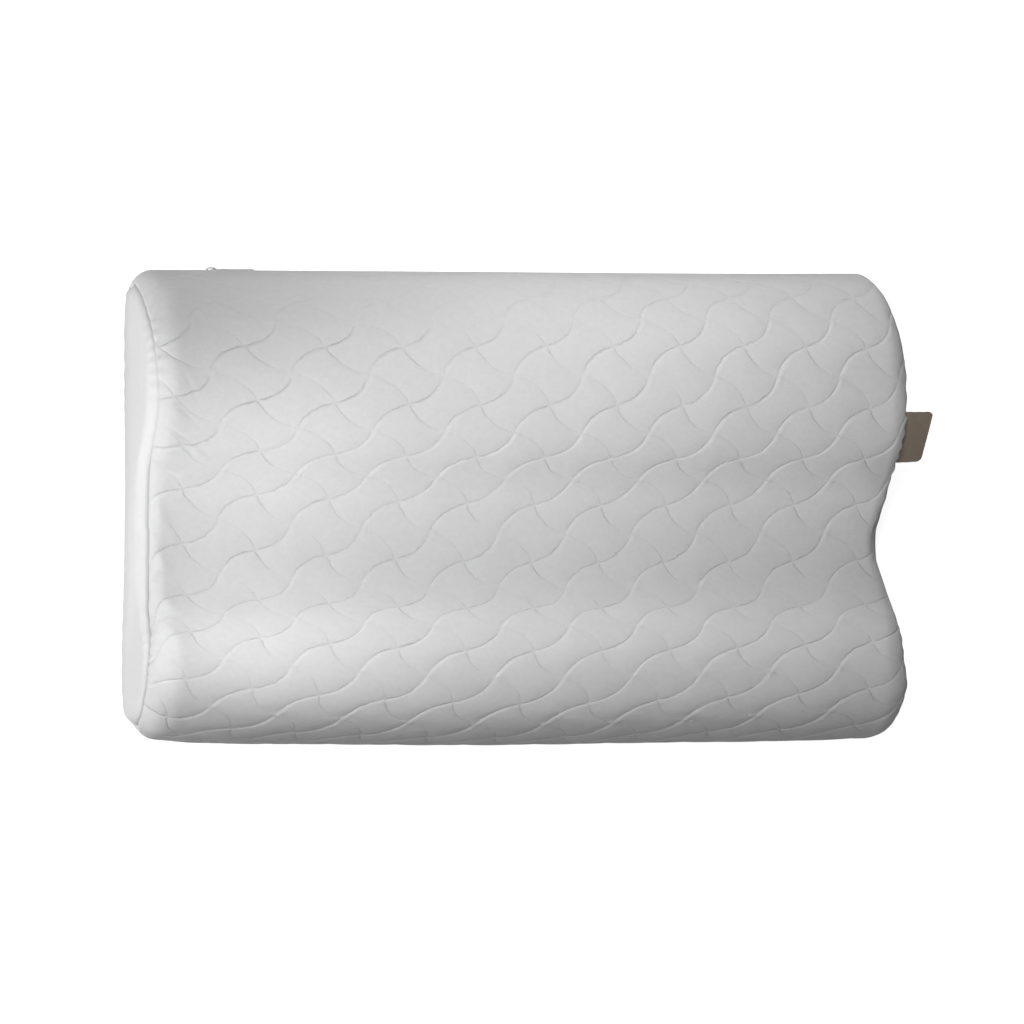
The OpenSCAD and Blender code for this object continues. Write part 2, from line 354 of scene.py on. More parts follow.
M_BACK = plain("nonwoven_backing", (0.78, 0.78, 0.78), (0.88, 0.88, 0.88), 1500.0, 0.9, 0.1, spec=0.2)
M_COIL = plain("nylon_coil", (0.74, 0.74, 0.74), (0.84, 0.84, 0.84), 900.0, 0.35, 0.02)
M_METAL = plain("zip_metal", (0.55, 0.55, 0.57), (0.66, 0.66, 0.68), 800.0, 0.32, 0.02, metal=0.85)
M_ENAMEL = plain("white_lacquer", (0.74, 0.74, 0.74), (0.84, 0.84, 0.84), 700.0, 0.38, 0.02, spec=0.5)
M_SEAM = plain("turned_edge", (0.68, 0.68, 0.68), (0.78, 0.78, 0.78), 1200.0, 0.9, 0.2, spec=0.2, sheen=0.2)

# ------------------------------------------------------------------ the quilt
# Lattice of the apple-core quilting: column and row numbers of the crossings as
# a smooth function of the place on the cloth (x/250, (s - 214)/214 from the zip edge).
QC = [-3.2753, 0.1478, 0.7153, 0.1849, 5.6195, 0.1225, -0.3739, 0.2331, -0.4865, -0.0371]
QR = [2.047, 5.7186, 0.3162, 0.3038, -0.0933, -0.1137, 0.3372, 0.1959, 0.3739, -0.1015]
AMP = 0.155


def lattice(x, s):
    a, b = x / 250.0, (s - 15.0 - 214.0) / 214.0
    c, r, n = 0.0, 0.0, 0
    for i in range(4):
        for j in range(4 - i):
            m = a ** i * b ** j
            c, r, n = c + QC[n] * m, r + QR[n] * m, n + 1
    return c - r, c + r


def relief(x, s, bend):
    """Height of the quilting over (x, s), in mm. Each tile rises steeply after a line and falls slowly to the next."""
    u, v = lattice(x, s)
    f1 = v - AMP * np.sin(PI * u) * np.cos(PI * v)
    f2 = u + AMP * np.sin(PI * v) * np.cos(PI * u)
    phase = v - u
    w1 = 0.86 - 0.14 * np.cos(PI * phase)
    w2 = 0.60 + 0.40 * np.cos(PI * phase - 0.9)
    a, b = (f1 - np.floor(f1)) * 25.3, (f2 - np.floor(f2)) * 25.3
    tile = (1 - np.exp(-a / 1.3)) * (1 - np.exp(-(25.3 - a) / 2.5))
    side = (1 - np.exp(-b / 1.8)) * (1 - np.exp(-(25.3 - b) / 1.6))
    near1 = np.minimum(a, 25.3 - a)
    near2 = np.minimum(b, 25.3 - b)
    dome = 0.34 * np.sin(PI * a / 25.3) * np.sin(PI * b / 25.3)
    steep = (0.5 - 0.5 * np.cos(PI * u) * np.cos(PI * v)) ** 2
    h = 0.62 * w1 * tile + 0.26 * w2 * side + dome + 0.20 * w1 * np.exp(-((a - 2.1) / 1.2) ** 2) + 0.55 * steep * np.exp(-(near1 ** 2 + near2 ** 2) / 2.4 ** 2)
    return h * bend - 1.0, near1, near2


def y_shift(X, y, z):
    """The front edge is a little full in the middle and drawn in at its ends, and the back edge too."""
    front = 1.5 * np.exp(-((X + 15) / 110) ** 2) - 4.8 * np.exp(-((X + 264) / 45) ** 2) - 1.6 * np.exp(-((X - 256) / 50) ** 2)
    back = 1.3 * smooth((X - 120) / 120) - 0.8 * smooth((-X - 120) / 120)
    return back * smooth((y - 110) / 30) * smooth((z - 34) / 14) - front * smooth((-y - 95) / 45)


def cover_point(side, xf, s):
    """Base point, normal and depth for cloth distance xf >= 0 from the middle toward an end."""
    rho, th, e = RHO[side](s), THETA[side](s), end_shift(side, s)
    flat = HL + e - rho
    half = flat + rho * th
    a = np.clip((xf - flat) / rho, 0, None)
    X = np.where(xf < flat, xf, flat + rho * np.sin(a))
    d = rho * (1 - np.cos(a))
    y, z, ny, nz = outline(s)
    P = np.stack([side * X, y - d * ny + y_shift(side * X, y, z), z - d * nz], -1)
    N = np.stack([side * np.sin(a), np.cos(a) * ny, np.cos(a) * nz], -1)
    return P, N, half


def half_length(side, s):
    return HL + end_shift(side, s) - RHO[side](s) + RHO[side](s) * THETA[side](s)


def panel_grid(ni, s_rows):
    """Points of a panel that runs from end seam to end seam. s_rows is (nj,) or (ni, nj)."""
    tau = np.linspace(-1, 1, ni)[:, None]
    s = np.broadcast_to(s_rows, (ni, s_rows.shape[-1])).copy()
    L, Rt = half_length(-1, s), half_length(1, s)
    xf = np.where(tau < 0, tau * L, tau * Rt)
    Pl, Nl, _ = cover_point(-1, np.abs(xf), s)
    Pr, Nr, _ = cover_point(1, np.abs(xf), s)
    neg = (xf < 0)[..., None]
    P, N = np.where(neg, Pl, Pr), np.where(neg, Nl, Nr)
    gap = np.where(xf < 0, L - np.abs(xf), Rt - np.abs(xf))
    return P, N, xf, s, gap


# ------------------------------------------------------------------ cloth simulation
def simulate():
    """Swells a coarse closed copy of the cover under cloth pressure. Returns start and moved points in mm."""
    ni, nj = 61, 108
    s = np.linspace(0, T, nj, endpoint=False)
    P, N, xf, ss, gap = panel_grid(ni, s)
    P = P - N * 1.5
    verts = [P.reshape(-1, 3)]
    faces = list(map(tuple, grid_faces(ni, nj, wrap_j=True, flip=False)))
    n = ni * nj
    faces.append(tuple(range(nj)))
    faces.append(tuple(range(n - nj, n))[::-1])
    me = bpy.data.meshes.new("sim_cover")
    me.from_pydata([tuple(p) for p in verts[0] * MM], [], faces)
    me.update()
    ob = bpy.data.objects.new("sim_cover", me)
    bpy.context.scene.collection.objects.link(ob)
    bpy.context.view_layer.objects.active = ob
    m = ob.modifiers.new("remesh", "REMESH")
    m.mode, m.voxel_size = "VOXEL", 0.0065
    bpy.ops.object.select_all(action="DESELECT")
    ob.select_set(True)
    bpy.ops.object.modifier_apply(modifier="remesh")
    start = np.zeros(len(ob.data.vertices) * 3)
    ob.data.vertices.foreach_get("co", start)
    start = start.reshape(-1, 3)
    # the foam holds the underside, the zipper band and the hollow: pinned there
    g = ob.vertex_groups.new(name="held")
    for i, p in enumerate(start / MM):
        w = 0.0
        if p[2] < 7:
            w = 1.0
        elif p[1] > 143 and p[2] < 36:
            w = 1.0
        elif -60 < p[1] < 10 and p[2] > 30 and abs(p[0]) < 215:
            w = 0.6
        if w:
            g.add([i], w, "REPLACE")
    c = ob.modifiers.new("cloth", "CLOTH")
    st = c.settings
    st.quality = 6
    st.mass = 0.25
    st.tension_stiffness = st.compression_stiffness = 22
    st.shear_stiffness = 10
    st.bending_stiffness = 2.0
    st.use_pressure = True
    st.uniform_pressure_force = 4.0
    st.effector_weights.gravity = 0.0
    st.vertex_group_mass = "held"
    c.collision_settings.use_collision = False
    scene = bpy.context.scene
    for f in range(1, 21):
        scene.frame_set(f)
    ev = ob.evaluated_get(bpy.context.evaluated_depsgraph_get())
    em = ev.to_mesh()
    end = np.zeros(len(em.vertices) * 3)
    em.vertices.foreach_get("co", end)
    end = end.reshape(-1, 3)
    ev.to_mesh_clear()
    bpy.data.objects.remove(ob)
    scene.frame_set(1)
    return start / MM, end / MM


SIM_X = np.linspace(-1, 1, 71)
SIM_S = np.arange(0, T, T / 150)
SIM = np.zeros((71, 150))
SIM_END = {-1: None, 1: None}
p0, p1 = simulate()
move = p1 - p0
size = np.linalg.norm(move, axis=1)
print("cloth: points", len(p0), "mean move mm", round(float(size.mean()), 2), "most", round(float(size.max()), 2))
cap = 6.0
move *= np.minimum(1, cap / np.maximum(size, 1e-9))[:, None]
tree = KDTree(len(p0))
for i, p in enumerate(p0):
    tree.insert(p, i)
tree.balance()

def moved(p, k=10):
    w, m = 0.0, np.zeros(3)
    for _, i, d in tree.find_n(p, k):
        q = math.exp(-(d / 9.0) ** 2) + 1e-6
        w, m = w + q, m + q * move[i]
    return m / w

tau = SIM_X[:, None]
s2 = np.broadcast_to(SIM_S, (71, 150))
L, Rt = half_length(-1, s2), half_length(1, s2)
xf = np.where(tau < 0, tau * L, tau * Rt)
Pl, Nl, _ = cover_point(-1, np.abs(xf), s2)
Pr, Nr, _ = cover_point(1, np.abs(xf), s2)
neg = (xf < 0)[..., None]
P, N = np.where(neg, Pl, Pr), np.where(neg, Nl, Nr)
for i in range(71):
    for j in range(150):
        SIM[i, j] = moved(P[i, j]) @ N[i, j]
for side in (-1, 1):
    g = np.stack(np.meshgrid(np.linspace(-145, 145, 30), np.linspace(4, 96, 12), indexing="ij"), -1)
    SIM_END[side] = np.array([[moved((side * HL, *q))[0] * side for q in r] for r in g])


def swell(xf, s, gap):
    """Movement along the normal that the simulation gave, eased to nothing at what holds the cover."""
    y, z, _, _ = outline(s)
    fx = (np.clip(xf / 262.0, -1, 1) + 1) * 35
    fs = np.mod(s, T) / T * 150
    i0, j0 = np.clip(fx.astype(int), 0, 69), np.floor(fs).astype(int) % 150
    a, b = fx - i0, fs - np.floor(fs)
    j1 = (j0 + 1) % 150
    v = (SIM[i0, j0] * (1 - a) + SIM[i0 + 1, j0] * a) * (1 - b) + (SIM[i0, j1] * (1 - a) + SIM[i0 + 1, j1] * a) * b
    hold = smooth((z - 4) / 14) * np.where(y > 120, smooth((z - 34) / 30), 1.0)
    return 0.5 * v * hold * smooth(gap / 25)


# ------------------------------------------------------------------ the cover's surface
UND = waves(8, 110, 240, 3)
MID = waves(12, 36, 80, 5)
FINE = waves(16, 9, 20, 7)


def seam_dip(gap):
    return -1.7 * np.exp(-(gap / 1.9) ** 2) - 0.6 * np.exp(-gap / 6.0)


def pucker(side, s, gap):
    """Small gathers that the end seam draws into the cloth."""
    a = np.sin(s / 1.9 + 2.2 * np.sin(s / 17.0 + side)) * (0.55 + 0.45 * np.sin(s / 31.0 + 2 * side))
    return 0.42 * a * np.exp(-((gap - 3.0) / 4.0) ** 2)


def quilt_fade(xf, s, gap):
    y, z, _, _ = outline(s)
    f = smooth((s - 24.0) / 16.0) * smooth((S_FRONT - s - 1.0) / 9.0)
    return f * (0.25 + 0.75 * smooth((gap - 0.5) / 6.0))


def quilt_height(xf, s, gap):
    side = np.where(xf < 0, -1.0, 1.0)
    f = quilt_fade(xf, s, gap)
    rel, d1, d2 = relief(xf, s, line_strength(xf, s))
    h = rel * f + soft_height(xf, s, gap)
    h += seam_dip(gap) + pucker(side, s, gap) * smooth((s - 20) / 20)
    h += -1.5 * np.exp(-((S_FRONT - s) / 2.2) ** 2) - 0.3 * np.exp(-((s - 17.0) / 0.9) ** 2)
    return h


def line_strength(xf, s):
    """The quilting is drawn flat over the back slope at the left, and deep elsewhere."""
    top = smooth((s - 66.0) / 52.0)
    return np.clip(0.06 + 0.94 * top + 0.62 * smooth((xf + 110.0) / 230.0) * (1 - top) * smooth((s - 20) / 50), 0, 1)


def soft_height(xf, s, gap):
    """The slow shape under the quilting: wadding, slack and the simulated swell."""
    free = smooth((s - 20.0) / 60.0) * smooth((S_FRONT - s) / 30.0)
    h = 0.45 * UND(xf, s) * free + 0.18 * MID(xf, s) * free + 0.07 * FINE(xf, s) * free
    return h + left_folds(xf, s, gap) * free + swell(xf, s, gap)


def left_folds(xf, s, gap):
    """Creases and slack tufts in the cloth beside the left seam, over the hollow and the slopes."""
    h = np.zeros_like(xf)
    for x0, s0, ang, ln, wd, amp in LEFT_FOLDS:
        c, w = math.cos(ang), math.sin(ang)
        a = (xf - x0) * c + (s - s0) * w
        b = -(xf - x0) * w + (s - s0) * c
        h += amp * np.exp(-(a / ln) ** 2) * np.exp(-(b / wd) ** 2)
    return h


LEFT_FOLDS = [
    # x, s, direction, half length, half width, height (mm)
    (-235, 185, -0.46, 9, 1.3, -1.1), (-236, 182, -0.46, 9, 1.7, 0.8),
    (-226, 175, 0.61, 11, 1.3, -0.9), (-224, 178, 0.61, 10, 1.6, 0.6),
    (-222, 183, 0.30, 4, 3.0, -1.1), (-214, 186, 0.75, 11, 1.5, 0.7),
    (-224, 140, 1.08, 9, 1.6, -0.35), (-221, 139, 1.08, 8, 1.8, 0.25),
    (-231, 150, -0.45, 8, 1.4, -0.6), (-226, 158, 0.75, 10, 1.6, -0.5),
    (-229, 196, 0.35, 12, 2.6, 0.9), (-232, 203, 0.10, 10, 2.0, -0.7),
    (-222, 206, 0.55, 14, 2.4, 0.6), (-218, 166, -0.30, 14, 3.0, -0.5),
    (-233, 232, 1.05, 9, 4.0, 1.1), (-236, 245, 0.0, 8, 2.4, -0.9),
    (-233, 262, 1.05, 9, 4.0, 1.1), (-236, 276, 0.0, 8, 2.4, -0.9),
    (-233, 292, 1.05, 9, 4.0, 1.0), (-236, 305, 0.0, 8, 2.4, -0.8),
    (-234, 320, 1.05, 9, 4.0, 0.9), (-238, 332, 0.0, 8, 2.4, -0.7),
]


def cover(xf, s, lift=0.0, relief_on=True):
    """The cover's own surface at cloth distance xf from the middle and arc length s, in mm."""
    xf, s = np.broadcast_arrays(np.asarray(xf, float), np.asarray(s, float))
    L, Rt = half_length(-1, s), half_length(1, s)
    Pl, Nl, _ = cover_point(-1, np.abs(xf), s)
    Pr, Nr, _ = cover_point(1, np.abs(xf), s)
    neg = (xf < 0)[..., None]
    P, N = np.where(neg, Pl, Pr), np.where(neg, Nl, Nr)
    gap = np.maximum(np.where(xf < 0, L - np.abs(xf), Rt - np.abs(xf)), 0)
    h = quilt_height(xf, s, gap) if relief_on else 0.0
    return P + N * (h + lift)[..., None] if relief_on else P + N * lift, N, gap


def zip_edge(xf, up):
    """How far the cover's edge stands from the zipper's centre line, at cloth distance xf."""
    w = 5.0 * smooth((204.5 - np.abs(xf)) / 4.0)
    w = np.maximum(w, 0.0)
    return w


# ------------------------------------------------------------------ quilted wrap
NI, NJ = ((492, 418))
tau = np.linspace(-1, 1, NI)[:, None]
mid_s = np.linspace(0, 1, NJ)[None, :]
# the seam line's arc length at each station, then the rows between zipper and front seam
xf0 = tau * 262.0
s_lo = 10.35 + zip_edge(xf0, True) + 0.75
s_rows = s_lo + (S_FRONT - 0.15 - s_lo) * mid_s
L, Rt = half_length(-1, s_rows), half_length(1, s_rows)
xf = np.where(tau < 0, tau * L, tau * Rt)
surf, nrm, gap = cover(xf, s_rows)
# the turned edge over the zipper: a half roll inward and a hem behind
rolls = []
xe, se = xf[:, :1], s_rows[:, :1]
for a in np.radians([180, 150, 120, 90, 60, 30]):
    r = 0.7
    y, z, ny, nz = outline(se - r * math.sin(a))
    Pe, Ne, ge = cover(xe, se - r * math.sin(a))
    rolls.append(Pe - Ne * (r * (1 - math.cos(a))))
back = []
for k in (9.0, 5.0, 2.0):
    Pe, Ne, ge = cover(xe, se + k)
    back.append(Pe - Ne * 1.4)
surf_all = np.concatenate(back + rolls + [surf], axis=1)
uv_x = np.concatenate([xe] * 9 + [xf], axis=1)
uv_s = np.concatenate([se + 9, se + 5, se + 2] + [se - 0.3 * k for k in (1, 1, 1, 1, 1, 1)] + [s_rows], axis=1)
quilt = make("quilted_cover", surf_all, grid_faces(NI, surf_all.shape[1], flip=True), np.stack([uv_x, uv_s], -1).reshape(-1, 2))
u, v = lattice(uv_x, uv_s)
g1 = np.sin(PI * (v - AMP * np.sin(PI * u) * np.cos(PI * v))) * 25.3 / PI
g2 = np.sin(PI * (u + AMP * np.sin(PI * v) * np.cos(PI * u))) * 25.3 / PI
half_all = np.where(uv_x < 0, half_length(-1, uv_s), half_length(1, uv_s))
# qa, k1 and k2 set how strong the painted groove shade (and the dent) is: qa faint over the left back slope, k2 keeping
# the '\' lines lighter
amount = quilt_fade(uv_x, uv_s, half_all - np.abs(uv_x)) * line_strength(uv_x, uv_s)
amount[:, :9] = 0
cc, ss = np.cos(PI * u) * np.cos(PI * v), np.sin(PI * v) * np.cos(PI * u)
k1 = 1 - 0.80 * (0.5 - 0.5 * cc) ** 5
k2 = (0.12 + 0.88 * (0.5 + 0.5 * cc) ** 1.3) * (0.78 + 0.30 * ss)
# the end seam's own thin shadow: clear at the back corner and along the front half, faint between
yy = outline(uv_s)[0]
sq = np.exp(-(np.maximum(half_all - np.abs(uv_x), 0) / 0.9) ** 2)
sq = sq * (0.25 + 0.75 * np.clip(smooth((32.0 - yy) / 14.0) + smooth((yy - 88.0) / 20.0), 0, 1))
sq[:, :9] = 0
for nm, val in (("q1", g1), ("q2", g2), ("qa", amount), ("k1", k1), ("k2", k2), ("sq", sq)):
    at = quilt.data.attributes.new(nm, "FLOAT", "POINT")
    at.data.foreach_set("value", np.asarray(val, np.float32).ravel())


def paint_quilt_groove_shade(mat):
    """Paints shade into the cloth's colour along the quilting grooves and beside the end seam (sq), and dents the cloth
    along the quilting lines.
    """
    t = Tree.__new__(Tree)
    t.mat, t.t = mat, mat.node_tree
    t.bsdf = t.t.nodes["Principled BSDF"]
    at = {n: t.node("ShaderNodeAttribute", attribute_name=n).outputs["Fac"] for n in ("q1", "q2", "qa", "k1", "k2", "sq")}
    obj = t.node("ShaderNodeTexCoord").outputs["Object"]
    wander = t.math("SUBTRACT", t.noise(obj, 190.0, 3.0, 0.6), 0.5)
    patchy = t.node("ShaderNodeMapRange")
    for nm, val in (("From Min", 0.32), ("From Max", 0.62), ("To Min", 0.45), ("To Max", 1.1)):
        patchy.inputs[nm].default_value = val
    t.link(t.noise(obj, 95.0, 3.0, 0.6), patchy.inputs["Value"])

    def line(q, width, share):
        e = t.math("DIVIDE", t.math("ADD", q, t.math("MULTIPLY", wander, 2.6)), width)
        e = t.math("EXPONENT", t.math("MULTIPLY", t.math("MULTIPLY", e, e), -1.0))
        return t.math("MULTIPLY", e, share)
    l1 = line(at["q1"], 0.50, at["k1"])
    l2 = line(at["q2"], 0.46, at["k2"])
    both = t.math("MULTIPLY", t.math("MULTIPLY", t.math("MAXIMUM", l1, l2), at["qa"]), patchy.outputs["Result"])
    # where two lines cross, the thread dives and the cloth stands up between the stitches
    near = t.math("ADD", t.math("MULTIPLY", at["q1"], at["q1"]), t.math("MULTIPLY", at["q2"], at["q2"]))
    near = t.math("EXPONENT", t.math("DIVIDE", near, -3.0))
    both = t.math("MULTIPLY", both, t.math("SUBTRACT", 1.0, t.math("MULTIPLY", near, 0.82)))
    # painted shade: the quilting grooves (both) and the end seam's thin shadow (sq) are mixed toward dark grey in the
    # base colour
    old = t.bsdf.inputs["Base Color"].links[0].from_socket
    x = t.node("ShaderNodeMix", data_type="RGBA", blend_type="MULTIPLY")
    t.link(t.math("ADD", t.math("MULTIPLY", both, 0.22), t.math("MULTIPLY", at["sq"], 0.58)), x.inputs["Factor"])
    t.link(old, x.inputs["A"])
    x.inputs["B"].default_value = (0.25, 0.25, 0.26, 1)
    t.link(x.outputs["Result"], t.bsdf.inputs["Base Color"])
    old = t.bsdf.inputs["Normal"].links[0].from_socket
    soft = t.bump(t.noise(obj, 70.0, 3.0, 0.55), 0.22 * MM, 1.0, old)
    t.link(t.bump(t.math("SUBTRACT", 1.0, both), 0.42 * MM, 1.0, soft), t.bsdf.inputs["Normal"])


paint_quilt_groove_shade(M_QUILT)
piece(quilt, "pillow", M_QUILT, "cover_quilt", "quilt_face")


# ------------------------------------------------------------------ underside panel
def base_h(xf, s, gap):
    y, z, ny, nz = outline(s)
    flat_zone = smooth((9.0 - z) / 7.0)
    wob = 0.5 * (UND(xf + 400, s) + MID(xf - 300, s) * 0.6)
    h = wob * (1 - flat_zone) * 0.35 - np.abs(wob) * 0.35 * flat_zone - 0.25 * flat_zone
    h += seam_dip(gap) * (0.35 + 0.65 * (1 - flat_zone))
    h += 0.6 * pucker(np.where(xf < 0, -1.0, 1.0), s + 5, gap) * (1 - flat_zone)
    h += -0.3 * np.exp(-((s - T - 3.0) / 0.9) ** 2)
    h += -1.5 * np.exp(-((s - S_FRONT) / 2.2) ** 2)
    return h


NBI, NBJ = 230, 170
tb = np.linspace(-1, 1, NBI)[:, None]
xb0 = tb * 262.0
s_hi = T + 9.65 - zip_edge(xb0, False) - 0.75
sb = (S_FRONT + 0.15) + (s_hi - S_FRONT - 0.15) * np.linspace(0, 1, NBJ)[None, :] ** 1.0


def base_cover(xf, s, lift=0.0):
    xf, s = np.broadcast_arrays(np.asarray(xf, float), np.asarray(s, float))
    L, Rt = half_length(-1, s), half_length(1, s)
    Pl, Nl, _ = cover_point(-1, np.abs(xf), s)
    Pr, Nr, _ = cover_point(1, np.abs(xf), s)
    neg = (xf < 0)[..., None]
    P, N = np.where(neg, Pl, Pr), np.where(neg, Nl, Nr)
    gap = np.maximum(np.where(xf < 0, L - np.abs(xf), Rt - np.abs(xf)), 0)
    return P + N * (base_h(xf, s, gap) + lift)[..., None], N, gap


L, Rt = half_length(-1, sb), half_length(1, sb)
xb = np.where(tb < 0, tb * L, tb * Rt)
pb, nb, gb = base_cover(xb, sb)
xe, se = xb[:, -1:], sb[:, -1:]
rolls = []
for a in np.radians([30, 60, 90, 120, 150, 180]):
    Pe, Ne, ge = base_cover(xe, se + 0.7 * math.sin(a))
    rolls.append(Pe - Ne * (0.7 * (1 - math.cos(a))))
for k in (1.5, 3.0, 5.0):
    Pe, Ne, ge = base_cover(xe, se - k)
    rolls.append(Pe - Ne * 1.4)
allb = np.concatenate([pb] + rolls, axis=1)
uvb = np.stack([np.concatenate([xb] + [xe] * 9, 1),
                np.concatenate([sb] + [se + 0.3] * 6 + [se - 1.5, se - 3, se - 5], 1)], -1)
under = make("underside_panel", allb, grid_faces(NBI, allb.shape[1], flip=True), uvb.reshape(-1, 2))
piece(under, "pillow", M_PLAIN, "cover_plain", "base_panel")


# ------------------------------------------------------------------ end panels
def seam_line(side, s, drop=0.0):
    """The end seam: where wrap and end panel meet, in mm, at arc length s."""
    half = half_length(side, s)
    q, nq, _ = cover(side * half, s)
    b, nb_, _ = base_cover(side * half, s)
    top = ((np.mod(s, T) > 9.8) & (np.mod(s, T) < S_FRONT))[:, None]
    return np.where(top, q, b)


def fill_inside(ring, pitch, clear):
    """Interior points of a closed (y, z) ring on a staggered grid at least clear away from it."""
    lo, hi = ring.min(0), ring.max(0)
    pts = []
    row = 0
    z = lo[1]
    while z < hi[1]:
        y = lo[0] + (pitch / 2 if row % 2 else 0)
        while y < hi[0]:
            pts.append((y, z))
            y += pitch
        z += pitch * 0.87
        row += 1
    pts = np.array(pts)
    inside = np.zeros(len(pts), bool)
    a, b = ring, np.roll(ring, -1, 0)
    near = np.full(len(pts), 1e9)
    for (y0, z0), (y1, z1) in zip(a, b):
        c = (z0 > pts[:, 1]) != (z1 > pts[:, 1])
        with np.errstate(divide="ignore", invalid="ignore"):
            hit = c & (pts[:, 0] < (y1 - y0) * (pts[:, 1] - z0) / (z1 - z0) + y0)
        inside ^= hit
        near = np.minimum(near, (pts[:, 0] - y0) ** 2 + (pts[:, 1] - z0) ** 2)
    keep = inside & (near > clear ** 2)
    return pts[keep]


def end_cap(name, side, bulge, inset, pitch, detail=True, ring_n=560, shrink=0.0):
    """A panel that fills the end seam's outline, drawn in where the end is."""
    s = np.linspace(0, T, ring_n, endpoint=False)
    rim = seam_line(side, s)
    if shrink:
        y, z, ny, nz = outline(s)
        rim = rim - np.stack([0 * ny, ny, nz], -1) * shrink
    ring2 = rim[:, 1:]
    rings, depths = [ring2], [np.zeros(ring_n)]
    nrm2 = np.roll(ring2, -1, 0) - np.roll(ring2, 1, 0)
    nrm2 = np.stack([nrm2[:, 1], -nrm2[:, 0]], -1)
    nrm2 /= np.linalg.norm(nrm2, axis=1)[:, None]
    c = ring2.mean(0)
    if ((ring2 - c) * nrm2).sum() > 0:
        nrm2 = -nrm2
    for k, d in enumerate((0.7, 1.5, 2.5, 3.8, 5.4) if detail else (2.5,)):
        rings.append(ring2 + nrm2 * d)
    inner = fill_inside(rings[-1], pitch, pitch * 0.75)
    pts = np.concatenate(rings + [inner])
    edges = [(i, (i + 1) % ring_n) for i in range(ring_n)]
    out = delaunay_2d_cdt([Vector(p) for p in pts], edges, [], 1, 1e-6)
    v2 = np.array([(p[0], p[1]) for p in out[0]])
    faces = [f for f in out[2] if len(f) == 3]
    tree = KDTree(ring_n)
    for i, p in enumerate(ring2):
        tree.insert((p[0], p[1], 0), i)
    tree.balance()
    d, xr, sr = np.zeros(len(v2)), np.zeros(len(v2)), np.zeros(len(v2))
    for i, p in enumerate(v2):
        near = tree.find_n((p[0], p[1], 0), 4)
        w = np.array([1 / (q[2] + 0.05) for q in near])
        ids = [q[1] for q in near]
        d[i] = near[0][2]
        xr[i] = (rim[ids, 0] * w).sum() / w.sum()
        sr[i] = s[ids[0]]
    full = HL + end_at(side, v2[:, 0], v2[:, 1])
    rho, th = RHO[side](sr), THETA[side](sr)
    deep = np.clip(rho * (1 - np.cos(th)) + d, 0, rho)
    flat_x = full - rho + rho * np.sin(th)
    # the plain cloth is held nearly straight from the seam down to the foam's end
    down = np.clip((deep - rho * (1 - np.cos(th))) / np.maximum(rho * np.cos(th), 0.5), 0, 1)
    roll = full - (full - flat_x) * (1 - down) ** 1.3
    X = side * (roll + (side * xr - flat_x) * np.exp(-d / 2.2))
    low = smooth(v2[:, 1] / 22.0)
    X = X + side * bulge * (1 - np.exp(-d / 16.0)) * low
    if detail:
        wr = 0.14 * MID(v2[:, 0] * 1.3, v2[:, 1] * 2.0 + 99 * side) + 0.4 * UND(v2[:, 0], v2[:, 1] * 2 + 50 * side)
        X = X + side * wr * (1 - np.exp(-d / 8.0)) * low
        ga = np.sin(sr / 1.9 + 2.2 * np.sin(sr / 17.0 + side)) * (0.55 + 0.45 * np.sin(sr / 31.0 + 2 * side))
        X = X + side * 0.22 * ga * np.exp(-((d - 3.5) / 4.0) ** 2)
    X = X - side * inset
    if detail and side > 0:
        # a shallow hollow that leaves room for the side label when it is folded down
        al = (v2[:, 0] - 42.2) * 0.736 + (v2[:, 1] - 75.4) * 0.676
        dn = (v2[:, 0] - 42.2) * 0.676 - (v2[:, 1] - 75.4) * 0.736
        room = np.exp(-((al + 4.0) / 31.0) ** 4) * np.exp(-((dn - 8.0) / 17.0) ** 4)
        X = X - 2.5 * room * (1 - np.exp(-d / 1.4))
    verts = np.stack([X, v2[:, 0], v2[:, 1]], -1)
    f = np.array(faces, int)
    p = verts[f]
    n = np.cross(p[:, 1] - p[:, 0], p[:, 2] - p[:, 0])
    if (n[:, 0] * side).sum() < 0:
        f = f[:, ::-1]
    ob = make(name, verts, f, v2)
    # painted shade along the end seam, strongest along the front half and at the back corner
    seam_shade_weight = np.exp(-(d / 0.9) ** 2)
    seam_shade_weight = seam_shade_weight * (0.2 + 0.8 * np.clip(smooth((32.0 - v2[:, 0]) / 14.0) + smooth((v2[:, 0] - 88.0) / 20.0), 0, 1))
    ob.data.attributes.new("sq", "FLOAT", "POINT").data.foreach_set("value", seam_shade_weight.astype(np.float32))
    return ob


def paint_end_seam_shade(mat):
    """Paints shade into the plain cloth's colour where it dives into the end seam."""
    t = Tree.__new__(Tree)
    t.mat, t.t = mat, mat.node_tree
    t.bsdf = t.t.nodes["Principled BSDF"]
    rim = t.node("ShaderNodeAttribute", attribute_name="sq").outputs["Fac"]
    old = t.bsdf.inputs["Base Color"].links[0].from_socket
    x = t.node("ShaderNodeMix", data_type="RGBA", blend_type="MULTIPLY")
    t.link(t.math("MULTIPLY", rim, 0.45), x.inputs["Factor"])
    t.link(old, x.inputs["A"])
    x.inputs["B"].default_value = (0.25, 0.25, 0.26, 1)
    t.link(x.outputs["Result"], t.bsdf.inputs["Base Color"])


paint_end_seam_shade(M_PLAIN)


left = end_cap("end_panel_cloth_left", -1, 1.6, 0.0, 2.6)
right = end_cap("end_panel_cloth_right", 1, 1.2, 0.0, 2.6)
piece(left, "pillow", M_PLAIN, "cover_plain", "end_panel_left")
piece(right, "pillow", M_PLAIN, "cover_plain", "end_panel_right")


# ------------------------------------------------------------------ inner layers
def roll_point(side, xf, s):
    P, N, _ = cover_point(side, np.abs(xf), s)
    return P, N


